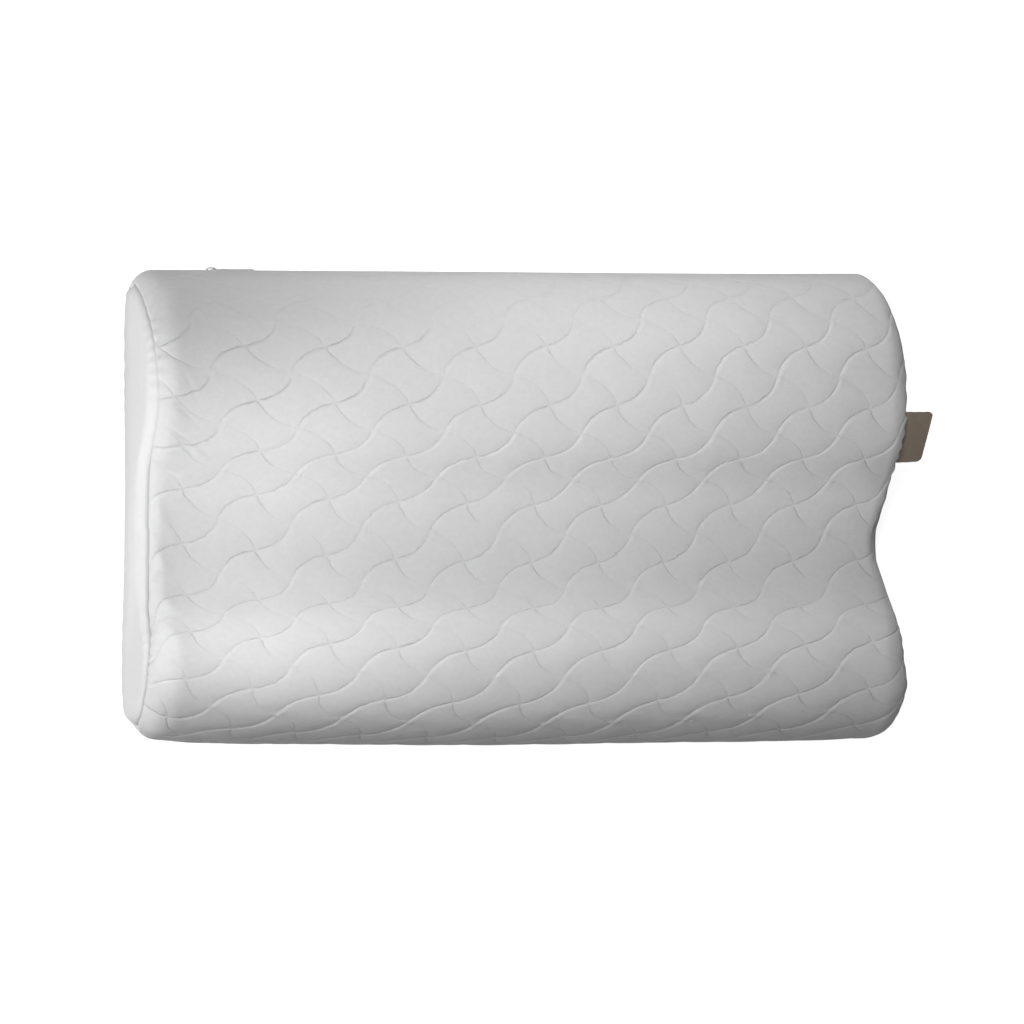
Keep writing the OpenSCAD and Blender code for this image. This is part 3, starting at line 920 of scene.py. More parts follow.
def under_cover(xf, s, depth, follow=0.0):
    """Points at a depth below the cover's nominal surface; follow takes in the soft shape."""
    xf, s = np.broadcast_arrays(np.asarray(xf, float), np.asarray(s, float))
    L, Rt = half_length(-1, s), half_length(1, s)
    Pl, Nl = roll_point(-1, xf, s)
    Pr, Nr = roll_point(1, xf, s)
    neg = (xf < 0)[..., None]
    P, N = np.where(neg, Pl, Pr), np.where(neg, Nl, Nr)
    h = -np.asarray(depth, float)
    if follow:
        gap = np.maximum(np.where(xf < 0, L - np.abs(xf), Rt - np.abs(xf)), 0)
        h = h + follow * soft_height(xf, s, gap)
    return P + N * np.broadcast_to(h, xf.shape)[..., None]


def by_half(t, s, trim=0.0):
    """Cloth distance at share t (-1 to 1) of the way to each end seam, less trim."""
    L, Rt = half_length(-1, s) - trim, half_length(1, s) - trim
    return np.where(t < 0, t * L, t * Rt)


def slab(name, a, b, wrap=False, uv=None):
    """A closed layer between an outer grid of points a and an inner one b."""
    ni, nj = a.shape[:2]
    n = ni * nj
    f = [grid_faces(ni, nj, wrap, True), grid_faces(ni, nj, wrap, False, n)]
    j = np.arange(nj if wrap else nj - 1)
    j2 = (j + 1) % nj
    f.append(np.stack([j, j2, n + j2, n + j], -1)[:, ::-1])
    e = (ni - 1) * nj
    f.append(np.stack([e + j, e + j2, n + e + j2, n + e + j], -1))
    if not wrap:
        i = np.arange(ni - 1) * nj
        i2 = i + nj
        f.append(np.stack([i, i2, n + i2, n + i], -1))
        e = nj - 1
        f.append(np.stack([i + e, i2 + e, n + i2 + e, n + i + e], -1)[:, ::-1])
    v = np.concatenate([a.reshape(-1, 3), b.reshape(-1, 3)])
    if uv is not None:
        uv = np.concatenate([uv.reshape(-1, 2)] * 2)
    return make(name, v, np.concatenate(f), uv)


def base_share(s):
    """0 on the top, the walls and the ends of the corners, 1 on the flat underside."""
    s = np.mod(s, T)
    return smooth((s - B[5] - 6) / 20.0) * (1 - smooth((s - B[7] + 4) / 18.0))


S_BACK_Q, S_FRONT_Q = 22.5, B[5] - 1.0
nodes_done = []
tt = np.linspace(-1, 1, 150)[:, None]
ss = np.linspace(S_BACK_Q, S_FRONT_Q, 140)[None, :]
xw = by_half(tt, ss, 9.5)
sw = np.broadcast_to(ss, xw.shape)
uvw = np.stack([xw, sw], -1)
tuft = 0.10 * waves(14, 5, 12, 21)(xw, sw)
wad = slab("quilt_wadding_fibre", under_cover(xw, sw, 2.45 - tuft, 1.0), under_cover(xw, sw, 4.25), uv=uvw)
piece(wad, "pillow", M_WAD, "wadding", "quilt_wadding")
bck = slab("quilt_backing_cloth", under_cover(xw, sw, 4.45), under_cover(xw, sw, 5.05), uv=uvw)
piece(bck, "pillow", M_BACK, "backing", "quilt_backing")

ring_s = np.linspace(0, T, 420, endpoint=False)[None, :]
tl = np.linspace(-1, 1, 120)[:, None]
xl = by_half(tl, ring_s)
sl = np.broadcast_to(ring_s, xl.shape)
share = base_share(sl)
slack = 0.12 * waves(12, 18, 50, 23)(xl, sl)
lin = slab("liner_sleeve_cloth", under_cover(xl, sl, 5.6 * (1 - share) + 1.75 * share - slack * 0.5),
           under_cover(xl, sl, 6.15 * (1 - share) + 2.15 * share), wrap=True, uv=np.stack([xl, sl], -1))
piece(lin, "pillow", M_LINER, "liner", "liner_sleeve")

pore = 0.10 * waves(20, 4, 9, 25)(xl, sl)
foam_off = 6.6 * (1 - share) + 2.7 * share
fo = under_cover(xl, sl, foam_off + np.abs(pore))


def soft_cap(side, rim_off, end_off, step, name=None, rim=None, pitch=5.0):
    """Points and faces of a rounded end that closes a ring lying rim_off below the cover."""
    n = rim.shape[0]
    s = ring_s[0]
    ring2 = rim[:, 1:]
    nv = np.roll(ring2, -1, 0) - np.roll(ring2, 1, 0)
    nv = np.stack([nv[:, 1], -nv[:, 0]], -1)
    nv /= np.linalg.norm(nv, axis=1)[:, None]
    if ((ring2 - ring2.mean(0)) * nv).sum() > 0:
        nv = -nv
    rings = [ring2] + [ring2 + nv * d for d in step]
    inner = fill_inside(rings[-1], pitch, pitch * 0.7)
    pts = np.concatenate(rings + [inner])
    out = delaunay_2d_cdt([Vector(p) for p in pts], [(i, (i + 1) % n) for i in range(n)], [], 1, 1e-6)
    v2 = np.array([(p[0], p[1]) for p in out[0]])
    faces = np.array([f for f in out[2] if len(f) == 3])
    tree = KDTree(n)
    for i, p in enumerate(ring2):
        tree.insert((p[0], p[1], 0), i)
    tree.balance()
    d, xr, sr, ro = (np.zeros(len(v2)) for _ in range(4))
    for i, p in enumerate(v2):
        q = tree.find((p[0], p[1], 0))
        d[i], xr[i], sr[i], ro[i] = q[2], rim[q[1], 0], s[q[1]], rim_off[q[1]]
    full = HL + end_at(side, v2[:, 0], v2[:, 1])
    rho, th = RHO[side](sr), THETA[side](sr)
    deep = np.clip(rho * (1 - np.cos(th)) + ro * np.cos(th) + d, 0, rho)
    rr = np.maximum(rho - ro, 1.0)
    X = full - rho + np.sqrt(np.maximum(rr ** 2 - np.clip(rho - deep, 0, rr) ** 2, 0))
    X = X + (ro - end_off) * (1 - np.exp(-d / 5.0))
    X = np.minimum(X, full - end_off)
    e = np.exp(-d / 1.5)
    X = side * (X * (1 - e) + side * xr * e)
    verts = np.stack([X, v2[:, 0], v2[:, 1]], -1)
    p = verts[faces]
    nn = np.cross(p[:, 1] - p[:, 0], p[:, 2] - p[:, 0])
    if (nn[:, 0] * side).sum() < 0:
        faces = faces[:, ::-1]
    return verts, faces, v2


def quads_to_tris(f):
    return np.concatenate([f[:, [0, 1, 2]], f[:, [0, 2, 3]]])


# the foam core: one closed body, its ends rounded like the cover
parts_v, parts_f, base_n = [fo.reshape(-1, 3)], [quads_to_tris(grid_faces(*fo.shape[:2], True, True))], fo.shape[0] * fo.shape[1]
for side, row in ((-1, 0), (1, fo.shape[0] - 1)):
    cv, cf, _ = soft_cap(side, foam_off[row], 3.3, (1.0, 2.2, 4.0, 6.5, 9.5), rim=fo[row])
    parts_v.append(cv)
    parts_f.append(cf + base_n)
    base_n += len(cv)
foam = make("foam_core_body", np.concatenate(parts_v), np.concatenate(parts_f))
weld = foam.modifiers.new("weld", "WELD")
weld.merge_threshold = 0.00002
bpy.context.view_layer.objects.active = foam
bpy.ops.object.select_all(action="DESELECT")
foam.select_set(True)
bpy.ops.object.modifier_apply(modifier="weld")
piece(foam, "pillow", M_FOAM, "foam", "foam_core")

lo_ = under_cover(xl, sl, 5.6 * (1 - share) + 1.75 * share)
off_l = 5.6 * (1 - share) + 1.75 * share
for side, row, nm, node in ((-1, 0, "liner_end_cloth_left", "liner_end_left"),
                            (1, lo_.shape[0] - 1, "liner_end_cloth_right", "liner_end_right")):
    cv, cf, c2 = soft_cap(side, off_l[row], 2.5, (1.2, 3.0, 6.0), rim=lo_[row])
    ob = make(nm, cv, cf, c2)
    piece(ob, "pillow", M_LINER, "liner", node)

# turned-in edges behind the end seams and the front seam
edge_s = np.linspace(S_BACK_Q, S_FRONT_Q, 520)
for side, nm, node in ((-1, "end_seam_edges_left", "seam_left"), (1, "end_seam_edges_right", "seam_right")):
    g = np.array([1.3, 1.7, 2.6, 3.6, 4.6, 5.6, 6.6, 7.5, 8.1, 8.5])[:, None]
    es = np.broadcast_to(edge_s[None, :], (len(g), len(edge_s)))
    g = g + (0.35 * np.sin(es * 2 * PI / 2.6) * (g > 7)).clip(-0.3, 0.3)
    xe_ = side * (half_length(side, es) - g)
    over = 0.10 * np.abs(np.sin(es * PI / 2.6)) * (g > 4)
    a = under_cover(xe_, es, 2.75 - over * 0.4, 0.6)
    b = under_cover(xe_, es, 3.85 + 0 * over, 0.6)
    if side > 0:
        a, b, es2 = a[::-1], b[::-1], es[::-1]
    ob = slab(nm, a, b, uv=np.stack([xe_ if side < 0 else xe_[::-1], es], -1))
    piece(ob, "pillow", M_SEAM, "seam", node)
fx = by_half(np.linspace(-1, 1, 260)[:, None], np.full((1, 1), S_FRONT), 4.0)
fs = (S_FRONT + np.array([-6.2, -4.5, -3.0, -2.2, -1.0, 0.0, 1.0, 1.9])[None, :])
fx2, fs2 = np.broadcast_arrays(fx, fs)
ob = slab("front_seam_edges", under_cover(fx2, fs2, 2.7), under_cover(fx2, fs2, 3.5), uv=np.stack([fx2, fs2], -1))
piece(ob, "pillow", M_SEAM, "seam", "seam_front")


# ------------------------------------------------------------------ thread
def capsules(name, a, b, r, sides=5, bow=0.0, up=None):
    """Short thread stitches from points a to b, in mm, thickest in the middle."""
    a, b = np.asarray(a, float), np.asarray(b, float)
    t = b - a
    t /= np.linalg.norm(t, axis=1)[:, None]
    u = np.cross(t, up if up is not None else np.array([0.0, 0.0, 1.0]))
    k = np.linalg.norm(u, axis=1)
    u[k < 1e-3] = (1, 0, 0)
    u /= np.linalg.norm(u, axis=1)[:, None]
    w = np.cross(u, t)
    stations = [(0.0, 0.35), (0.12, 0.85), (0.5, 1.0), (0.88, 0.85), (1.0, 0.35)]
    ang = np.arange(sides) * 2 * PI / sides
    rings = []
    for q, rr in stations:
        c = a + (b - a) * q - w * 0
        c = c + (w * bow * 4 * q * (1 - q))
        rings.append(c[:, None, :] + r * rr * (np.cos(ang)[None, :, None] * u[:, None, :] + np.sin(ang)[None, :, None] * w[:, None, :]))
    v = np.stack(rings, 1)
    n, m = v.shape[0], len(stations)
    tips = np.stack([a - t * r * 0.3, b + t * r * 0.3], 1)
    verts = np.concatenate([v.reshape(n, -1, 3), tips], 1)
    per = m * sides + 2
    f = []
    for i in range(m - 1):
        for j in range(sides):
            j2 = (j + 1) % sides
            q = [i * sides + j, i * sides + j2, (i + 1) * sides + j2, (i + 1) * sides + j]
            f += [[q[0], q[1], q[2]], [q[0], q[2], q[3]]]
    for j in range(sides):
        j2 = (j + 1) % sides
        f += [[j2, j, per - 2], [(m - 1) * sides + j, (m - 1) * sides + j2, per - 1]]
    f = np.array(f)
    faces = (np.arange(n)[:, None, None] * per + f[None]).reshape(-1, 3)
    return make(name, verts.reshape(-1, 3), faces)


def line_runs():
    """The quilting lines as (x, s) polylines on the cloth, found through the lattice."""
    gx, gs = np.meshgrid(np.linspace(-262, 262, 120), np.linspace(15, S_FRONT, 100), indexing="ij")
    gu, gv = lattice(gx, gs)
    tree = KDTree(gx.size)
    for i, (p, q) in enumerate(zip(gu.ravel(), gv.ravel())):
        tree.insert((p, q, 0), i)
    tree.balance()

    def back_to_cloth(u, v):
        x, s = np.zeros(len(u)), np.zeros(len(u))
        for i in range(len(u)):
            k = tree.find((u[i], v[i], 0))[1]
            x[i], s[i] = gx.flat[k], gs.flat[k]
        for _ in range(6):
            e = 0.05
            u0, v0 = lattice(x, s)
            ux, vx = lattice(x + e, s)
            us, vs = lattice(x, s + e)
            a, b, c, d = (ux - u0) / e, (us - u0) / e, (vx - v0) / e, (vs - v0) / e
            det = a * d - b * c
            ru, rv = u - u0, v - v0
            x, s = x + np.clip((d * ru - b * rv) / det, -20, 20), s + np.clip((-c * ru + a * rv) / det, -20, 20)
        u0, v0 = lattice(x, s)
        ok = (np.abs(u0 - u) + np.abs(v0 - v)) < 1e-3
        return x, s, ok

    runs = []
    u_lo, u_hi, v_lo, v_hi = gu.min(), gu.max(), gv.min(), gv.max()
    for fam in (1, 2):
        lo, hi = (v_lo, v_hi) if fam == 1 else (u_lo, u_hi)
        p0, p1 = (u_lo, u_hi) if fam == 1 else (v_lo, v_hi)
        for j in range(int(math.floor(lo)) - 1, int(math.ceil(hi)) + 2):
            w = np.arange(p0, p1, 0.055)
            # the line where sin(pi (v - A sin(pi u) cos(pi v))) = 0, by a few steps of iteration
            q = np.full(len(w), float(j))
            for _ in range(12):
                q = j + (AMP if fam == 1 else -AMP) * np.sin(PI * w) * np.cos(PI * q)
            u, v = (w, q) if fam == 1 else (q, w)
            x, s, ok = back_to_cloth(u, v)
            ok &= (s > 40) & (s < S_FRONT - 4)
            half = np.where(x < 0, half_length(-1, s), half_length(1, s))
            ok &= np.abs(x) < half - 3.0
            start = None
            for i in range(len(x) + 1):
                if i < len(x) and ok[i]:
                    if start is None:
                        start = i
                elif start is not None:
                    if i - start > 3:
                        runs.append((fam, x[start:i], s[start:i]))
                    start = None
    return runs


if True:
    A_, B_, UP_ = [], [], []
    for fam, x, s in line_runs():
        seg = np.hypot(np.diff(x), np.diff(s))
        cum = np.r_[0, np.cumsum(seg)]
        at = np.arange(0.4, cum[-1] - 2.6, 3.3)
        if len(at) < 1:
            continue
        xa, sa = np.interp(at, cum, x), np.interp(at, cum, s)
        xb_, sb_ = np.interp(at + 2.5, cum, x), np.interp(at + 2.5, cum, s)
        A_.append(np.stack([xa, sa], -1))
        B_.append(np.stack([xb_, sb_], -1))
    A_, B_ = np.concatenate(A_), np.concatenate(B_)
    pa, na, _ = cover(A_[:, 0], A_[:, 1], 0.02)
    pb_, nb2, _ = cover(B_[:, 0], B_[:, 1], 0.02)
    mid = (A_ + B_) / 2
    thread = capsules("quilting_thread", pa, pb_, 0.17, sides=4, up=na)
    piece(thread, "pillow", M_THREAD, "thread")
    print("quilting stitches", len(pa))


# ------------------------------------------------------------------ zipper
def mmbox(node):
    lo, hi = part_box(node)
    return np.array(lo) / MM, np.array(hi) / MM


for node, nm, sgn in (("zip_tape_upper", "zip_tape_cloth_upper", 1), ("zip_tape_lower", "zip_tape_cloth_lower", -1)):
    lo, hi = mmbox(node)
    gx = np.linspace(lo[0], hi[0], 420)[:, None]
    gz = np.linspace(lo[2], hi[2], 34)[None, :]
    GX, GZ = np.broadcast_arrays(gx, gz)
    rib = 0.07 * np.cos((GZ - ZIP_Z) * 2 * PI / 0.95) + 0.03 * np.cos(GX * 2 * PI / 1.3)
    edge = np.minimum(GZ - lo[2], hi[2] - GZ)
    rim = 0.28 * np.sqrt(np.clip(edge / 0.28, 0, 1))
    cord = 0.10 * np.exp(-((np.abs(GZ - ZIP_Z) - 4.1) / 0.5) ** 2)
    yc = (lo[1] + hi[1]) / 2
    a = np.stack([GX, yc + 0.0 * GX + rim * 0.8 + (rib + cord) * rim, GZ], -1)
    b = np.stack([GX, yc - rim * 0.8 + 0 * GX, GZ], -1)
    ob = slab(nm, a[:, ::-1], b[:, ::-1], uv=np.stack([GX, GZ], -1)[:, ::-1])
    piece(ob, "pillow", M_TAPE, "zip_tape", node)


def coil(name, node, sgn, phase):
    lo, hi = mmbox(node)
    r, pitch, per = 0.27, 1.3, 12
    turns = (hi[0] - lo[0] - 1.2) / pitch
    ph = np.arange(0, turns * 2 * PI, 2 * PI / per)
    head = 0.28
    z0, z1 = (lo[2] - head, hi[2]) if sgn > 0 else (lo[2], hi[2] + head)
    zc, rz = (z0 + z1) / 2, (z1 - z0) / 2 - r
    yc, ry = (lo[1] + hi[1]) / 2, (hi[1] - lo[1]) / 2 - r
    c, s = np.cos(ph + phase), np.sin(ph + phase)
    flat = np.sign(c) * np.abs(c) ** 0.75
    x = lo[0] + 0.6 + ph * pitch / (2 * PI)
    p = np.stack([x, yc + ry * s, zc + sgn * -rz * flat], -1)
    t = np.gradient(p, axis=0)
    t /= np.linalg.norm(t, axis=1)[:, None]
    u = np.cross(t, np.array([1.0, 0, 0]))
    u /= np.linalg.norm(u, axis=1)[:, None]
    w = np.cross(t, u)
    k = 5
    a = np.arange(k) * 2 * PI / k
    wide = 1.0 + 0.35 * np.clip(flat, 0, 1) ** 4
    v = p[:, None] + r * (np.cos(a)[None, :, None] * u[:, None] + (np.sin(a)[None, :, None] * w[:, None]) * wide[:, None, None])
    ob = make(name, v.reshape(-1, 3), grid_faces(len(p), k, wrap_j=True))
    return ob


for node, nm, sgn, phase in (("zip_coil_upper", "zip_coil_loops_upper", 1, 0.0), ("zip_coil_lower", "zip_coil_loops_lower", -1, PI)):
    ob = coil(nm, node, sgn, phase)
    piece(ob, "pillow", M_COIL, "zip_coil", node)


def plate(bm, outline_xz, y0, y1, bevel, segs=2, origin=(0, 0, 0)):
    """Adds a bevelled plate whose outline lies in x, z (mm) between y0 and y1."""
    import bmesh
    own = bmesh.new()
    pts = [own.verts.new(((x + origin[0]) * MM, (y0 + origin[1]) * MM, (z + origin[2]) * MM)) for x, z in outline_xz]
    f = own.faces.new(pts)
    r = bmesh.ops.extrude_face_region(own, geom=[f])
    mv = [g for g in r["geom"] if isinstance(g, bmesh.types.BMVert)]
    bmesh.ops.translate(own, vec=(0, (y1 - y0) * MM, 0), verts=mv)
    bmesh.ops.recalc_face_normals(own, faces=own.faces)
    if bevel:
        rim_e = [e for e in own.edges if len(e.link_faces) == 2 and e.calc_face_angle(0) > 0.8 and
                 abs(e.verts[0].co.y - e.verts[1].co.y) < 1e-7]
        bmesh.ops.bevel(own, geom=rim_e, offset=bevel * MM, segments=segs, affect="EDGES", profile=0.5, clamp_overlap=True)
    bmesh.ops.triangulate(own, faces=[f for f in own.faces if len(f.verts) > 4])
    me = bpy.data.meshes.new("tmp")
    own.to_mesh(me)
    own.free()
    bm.from_mesh(me)
    bpy.data.meshes.remove(me)


def arc(cx, cz, r, a0, a1, n):
    a = np.radians(np.linspace(a0, a1, n))
    return [(cx + r * math.cos(k), cz + r * math.sin(k)) for k in a]


def finish_bm(bm, name, angle=40):
    import bmesh
    me = bpy.data.meshes.new(name)
    bmesh.ops.recalc_face_normals(bm, faces=bm.faces)
    bm.to_mesh(me)
    bm.free()
    for p in me.polygons:
        p.use_smooth = True
    ob = bpy.data.objects.new(name, me)
    bpy.context.scene.collection.objects.link(ob)
    me.set_sharp_from_angle(angle=math.radians(angle))
    return ob


import bmesh
SX = -189.6
YF = HD
bm = bmesh.new()
# front and back plates: wide nose with two throats toward the closed end, narrow tail
nose = (arc(-4.1, -2.9, 1.4, 180, 270, 6) + [(-1.5, -4.3), (2.0, -3.95)] + arc(4.4, -2.6, 1.1, -80, 0, 5)
        + arc(4.4, 2.6, 1.1, 0, 80, 5) + [(2.0, 3.95), (-1.5, 4.3)] + arc(-4.1, 2.9, 1.4, 90, 180, 6)
        + [(-4.9, 0.9), (-4.5, 0.0), (-4.9, -0.9)])
plate(bm, nose, YF - 0.2, YF + 0.75, 0.3, 3, (SX, 0, ZIP_Z))
plate(bm, nose, YF - 5.0, YF - 3.85, 0.3, 2, (SX, 0, ZIP_Z))
# raised rib along the front plate under the bail
plate(bm, [(-4.2, -0.95), (4.2, -0.95), (4.5, 0), (4.2, 0.95), (-4.2, 0.95), (-4.5, 0)], YF + 0.6, YF + 0.95, 0.15, 2, (SX, 0, ZIP_Z))
for sg in (1, -1):
    flange = [(-5.1, sg * 3.35), (5.1, sg * 3.35), (5.1, sg * 3.75), (2.0, sg * 4.0), (-1.5, sg * 4.25), (-5.1, sg * 4.25)]
    plate(bm, flange if sg > 0 else flange[::-1], YF - 2.35, YF - 0.1, 0.2, 2, (SX, 0, ZIP_Z))
plate(bm, [(-5.3, -0.28), (-3.6, -0.12), (-3.6, 0.12), (-5.3, 0.28)], YF - 4.0, YF - 0.1, 0.05, 1, (SX, 0, ZIP_Z))
# the bail: a bent strip that holds the pull tab
outer, inner_, n = [], [], 17
for i in range(n):
    a = PI * i / (n - 1)
    cx, sy = math.cos(a), math.sin(a)
    px = -3.35 * np.sign(cx) * abs(cx) ** 0.6
    qx = -2.45 * np.sign(cx) * abs(cx) ** 0.6
    outer.append((px, 0.75 + 2.7 * sy ** 0.6))
    inner_.append((qx, 0.75 + 1.75 * sy ** 0.6))
strip = outer + inner_[::-1]
own = bmesh.new()
for zz in (0,):
    vs0 = [own.verts.new(((SX + x) * MM, (YF + y) * MM, (ZIP_Z - 0.8) * MM)) for x, y in strip]
    vs1 = [own.verts.new(((SX + x) * MM, (YF + y) * MM, (ZIP_Z + 0.8) * MM)) for x, y in strip]
    m_ = len(strip)
    for i in range(n - 1):
        o0, o1, i0, i1 = i, i + 1, m_ - 1 - i, m_ - 2 - i
        own.faces.new((vs0[o0], vs0[i0], vs0[i1], vs0[o1]))
        own.faces.new((vs1[o0], vs1[o1], vs1[i1], vs1[i0]))
        own.faces.new((vs0[o0], vs0[o1], vs1[o1], vs1[o0]))
        own.faces.new((vs0[i1], vs0[i0], vs1[i0], vs1[i1]))
    for o, i in ((0, m_ - 1), (n - 1, n)):
        own.faces.new((vs0[o], vs1[o], vs1[i], vs0[i]))
    bmesh.ops.recalc_face_normals(own, faces=own.faces)
    bmesh.ops.bevel(own, geom=[e for e in own.edges if e.calc_face_angle(0) > 0.9], offset=0.18 * MM, segments=2, affect="EDGES", profile=0.5)
me = bpy.data.meshes.new("tmp")
own.to_mesh(me)
own.free()
bm.from_mesh(me)
bpy.data.meshes.remove(me)
slider = finish_bm(bm, "zip_slider_body")
piece(slider, "slider", M_ENAMEL, "zip_metal", "zip_slider")

# pull tab: a forked stamped tab with a raised rim, hung on its cross pin
PL = 28.0
bm = bmesh.new()
PY = YF + 1.7
fork = ([(-0.35, 1.2)] + arc(0.05, 1.8, 0.5, 150, 90, 3) + [(4.6, 2.3), (7.0, 2.05), (12.0, 1.75), (18.0, 1.95), (22.0, 2.4)]
        + arc(PL - 2.75, 0, 2.75, 75, -75, 15) + [(22.0, -2.4), (18.0, -1.95), (12.0, -1.75), (7.0, -2.05), (4.6, -2.3)]
        + arc(0.05, -1.8, 0.5, -90, -150, 3) + [(-0.35, -1.2), (3.9, -1.2)] + arc(4.0, -0.0, 1.2, -60, 60, 5)[0:0]
        + [(4.35, -0.7), (4.5, 0.0), (4.35, 0.7), (3.9, 1.2)])
plate(bm, fork, PY - 0.38, PY + 0.38, 0.18, 2, (SX, 0, ZIP_Z))
rim_o = [(6.0, 1.45), (12.0, 1.15), (18.0, 1.35), (22.3, 1.75)] + arc(PL - 2.75, 0, 2.1, 70, -70, 11) + [(22.3, -1.75), (18.0, -1.35), (12.0, -1.15), (6.0, -1.45)]
rim_i = [(6.6, 0.95), (12.0, 0.70), (18.0, 0.90), (22.5, 1.20)] + arc(PL - 2.75, 0, 1.5, 66, -66, 11) + [(22.5, -1.20), (18.0, -0.90), (12.0, -0.70), (6.6, -0.95)]
own = bmesh.new()
k = len(rim_o)
for sgn_y, y0, y1 in ((1, PY + 0.3, PY + 0.52), (-1, PY - 0.3, PY - 0.52)):
    ring = []
    for pts, yy in ((rim_o, y0), (rim_o, y1), (rim_i, y1), (rim_i, y0)):
        ring.append([own.verts.new(((SX + x) * MM, yy * MM, (ZIP_Z + z) * MM)) for x, z in pts])
    for q in range(3):
        for i in range(k):
            j = (i + 1) % k
            own.faces.new((ring[q][i], ring[q][j], ring[q + 1][j], ring[q + 1][i]))
    for i in range(k):
        j = (i + 1) % k
        own.faces.new((ring[3][i], ring[3][j], ring[0][j], ring[0][i]))
bmesh.ops.recalc_face_normals(own, faces=own.faces)
me = bpy.data.meshes.new("tmp")
own.to_mesh(me)
own.free()
bm.from_mesh(me)
bpy.data.meshes.remove(me)
own = bmesh.new()
bmesh.ops.create_cone(own, cap_ends=True, segments=14, radius1=0.42 * MM, radius2=0.42 * MM, depth=4.0 * MM)
bmesh.ops.translate(own, vec=(SX * MM, PY * MM, ZIP_Z * MM), verts=own.verts)
me = bpy.data.meshes.new("tmp")
own.to_mesh(me)
own.free()
bm.from_mesh(me)
bpy.data.meshes.remove(me)
tab = finish_bm(bm, "zip_pull_tab")
piece(tab, "pull_tab", M_ENAMEL, "zip_metal", "zip_pull")

# end stops: crimped clips
for node, nm in (("zip_stop_closed", "zip_stop_clip_closed"), ("zip_stop_open", "zip_stop_clip_open")):
    lo, hi = mmbox(node)
    bm = bmesh.new()
    cx, hw, hz = (lo[0] + hi[0]) / 2, (hi[0] - lo[0]) / 2, (hi[2] - lo[2]) / 2
    out_ = (arc(hw - 0.7, hz - 0.7, 0.7, 0, 90, 4) + [(0.35, hz), (0.0, hz - 0.25), (-0.35, hz)] + arc(-hw + 0.7, hz - 0.7, 0.7, 90, 180, 4)
            + arc(-hw + 0.7, -hz + 0.7, 0.7, 180, 270, 4) + [(-0.35, -hz), (0.0, -hz + 0.25), (0.35, -hz)] + arc(hw - 0.7, -hz + 0.7, 0.7, 270, 360, 4))
    plate(bm, out_, lo[1], hi[1], 0.35, 3, (cx, 0, (lo[2] + hi[2]) / 2))
    for q in (-1, 1):
        plate(bm, [(q * 0.85 - 0.22, -hz * 0.7), (q * 0.85 + 0.22, -hz * 0.7), (q * 0.85 + 0.22, hz * 0.7), (q * 0.85 - 0.22, hz * 0.7)],
              hi[1] - 0.2, hi[1] + 0.12, 0.08, 1, (cx, 0, (lo[2] + hi[2]) / 2))
    ob = finish_bm(bm, nm)
    piece(ob, "pillow", M_METAL, "zip_stop", node)

# topstitching round the zipper, with bar tacks at its ends
pa, pb_ = [], []
for z in (ZIP_Z + 7.0, ZIP_Z - 7.0):
    x = np.arange(-203.0, 200.6, 3.1)
    yy = HD - 0.12
    for q in x:
        pa.append((q, yy, z))
        pb_.append((q + 2.5, yy, z))
for xe_ in (-203.2, 203.2):
    for i, z in enumerate(np.arange(ZIP_Z - 7.2, ZIP_Z + 7.3, 0.42)):
        pa.append((xe_ - 0.9, HD + 0.02 - 0.0, z))
        pb_.append((xe_ + 0.9, HD + 0.02, z + 0.22 * (-1) ** i))
ob = capsules("zip_topstitching", np.array(pa), np.array(pb_), 0.24, sides=6, up=np.array([0.0, 1.0, 0.0]))
piece(ob, "pillow", M_THREAD, "thread", "zip_stitching")

# care label: a blank satin ribbon folded in two behind the lower tape
lo, hi = mmbox("care_label")
gx = np.linspace(lo[0], hi[0], 60)[:, None]
gz = np.linspace(lo[2], hi[2], 30)[None, :]
GX, GZ = np.broadcast_arrays(gx, gz)
wv = 0.10 * np.sin(GX / 5.2) * smooth((hi[2] - GZ) / 9.0)
yc = (lo[1] + hi[1]) / 2
care = slab("care_label_ribbon", np.stack([GX, yc + wv + 0.09, GZ], -1)[:, ::-1], np.stack([GX, yc + wv - 0.09, GZ], -1)[:, ::-1],
            uv=np.stack([GX, GZ], -1)[:, ::-1])
piece(care, "pillow", M_SATIN, "inner_label", "care_label")

# ------------------------------------------------------------------ side label
LAB_W, LAB_OUT, LAB_Y, LAB_DROP = 41.0, 17.0, 34.2, 9.1
LA = math.asin((C1[0] - LAB_Y) / R1)
LZ = C1[1] + math.sqrt(R1 ** 2 - (C1[0] - LAB_Y) ** 2)
path = []
for x in np.linspace(-2.5, LAB_OUT - 0.42, 30):
    path.append((x, 0.34))
for a in np.radians([60, 30, 0, -30, -60]):
    path.append((LAB_OUT - 0.42 + 0.42 * math.cos(a), 0.34 * math.sin(a)))
for x in np.linspace(LAB_OUT - 0.42, -2.5, 30):
    path.append((x, -0.34))
path = np.array(path)
yy = LAB_W / 2 * np.sin(np.linspace(-PI / 2, PI / 2, 76))
tg = np.gradient(path, axis=0)
tg /= np.linalg.norm(tg, axis=1)[:, None]
nrm_ = np.stack([-tg[:, 1], tg[:, 0]], -1)
ca, sa = math.cos(LA), math.sin(LA)


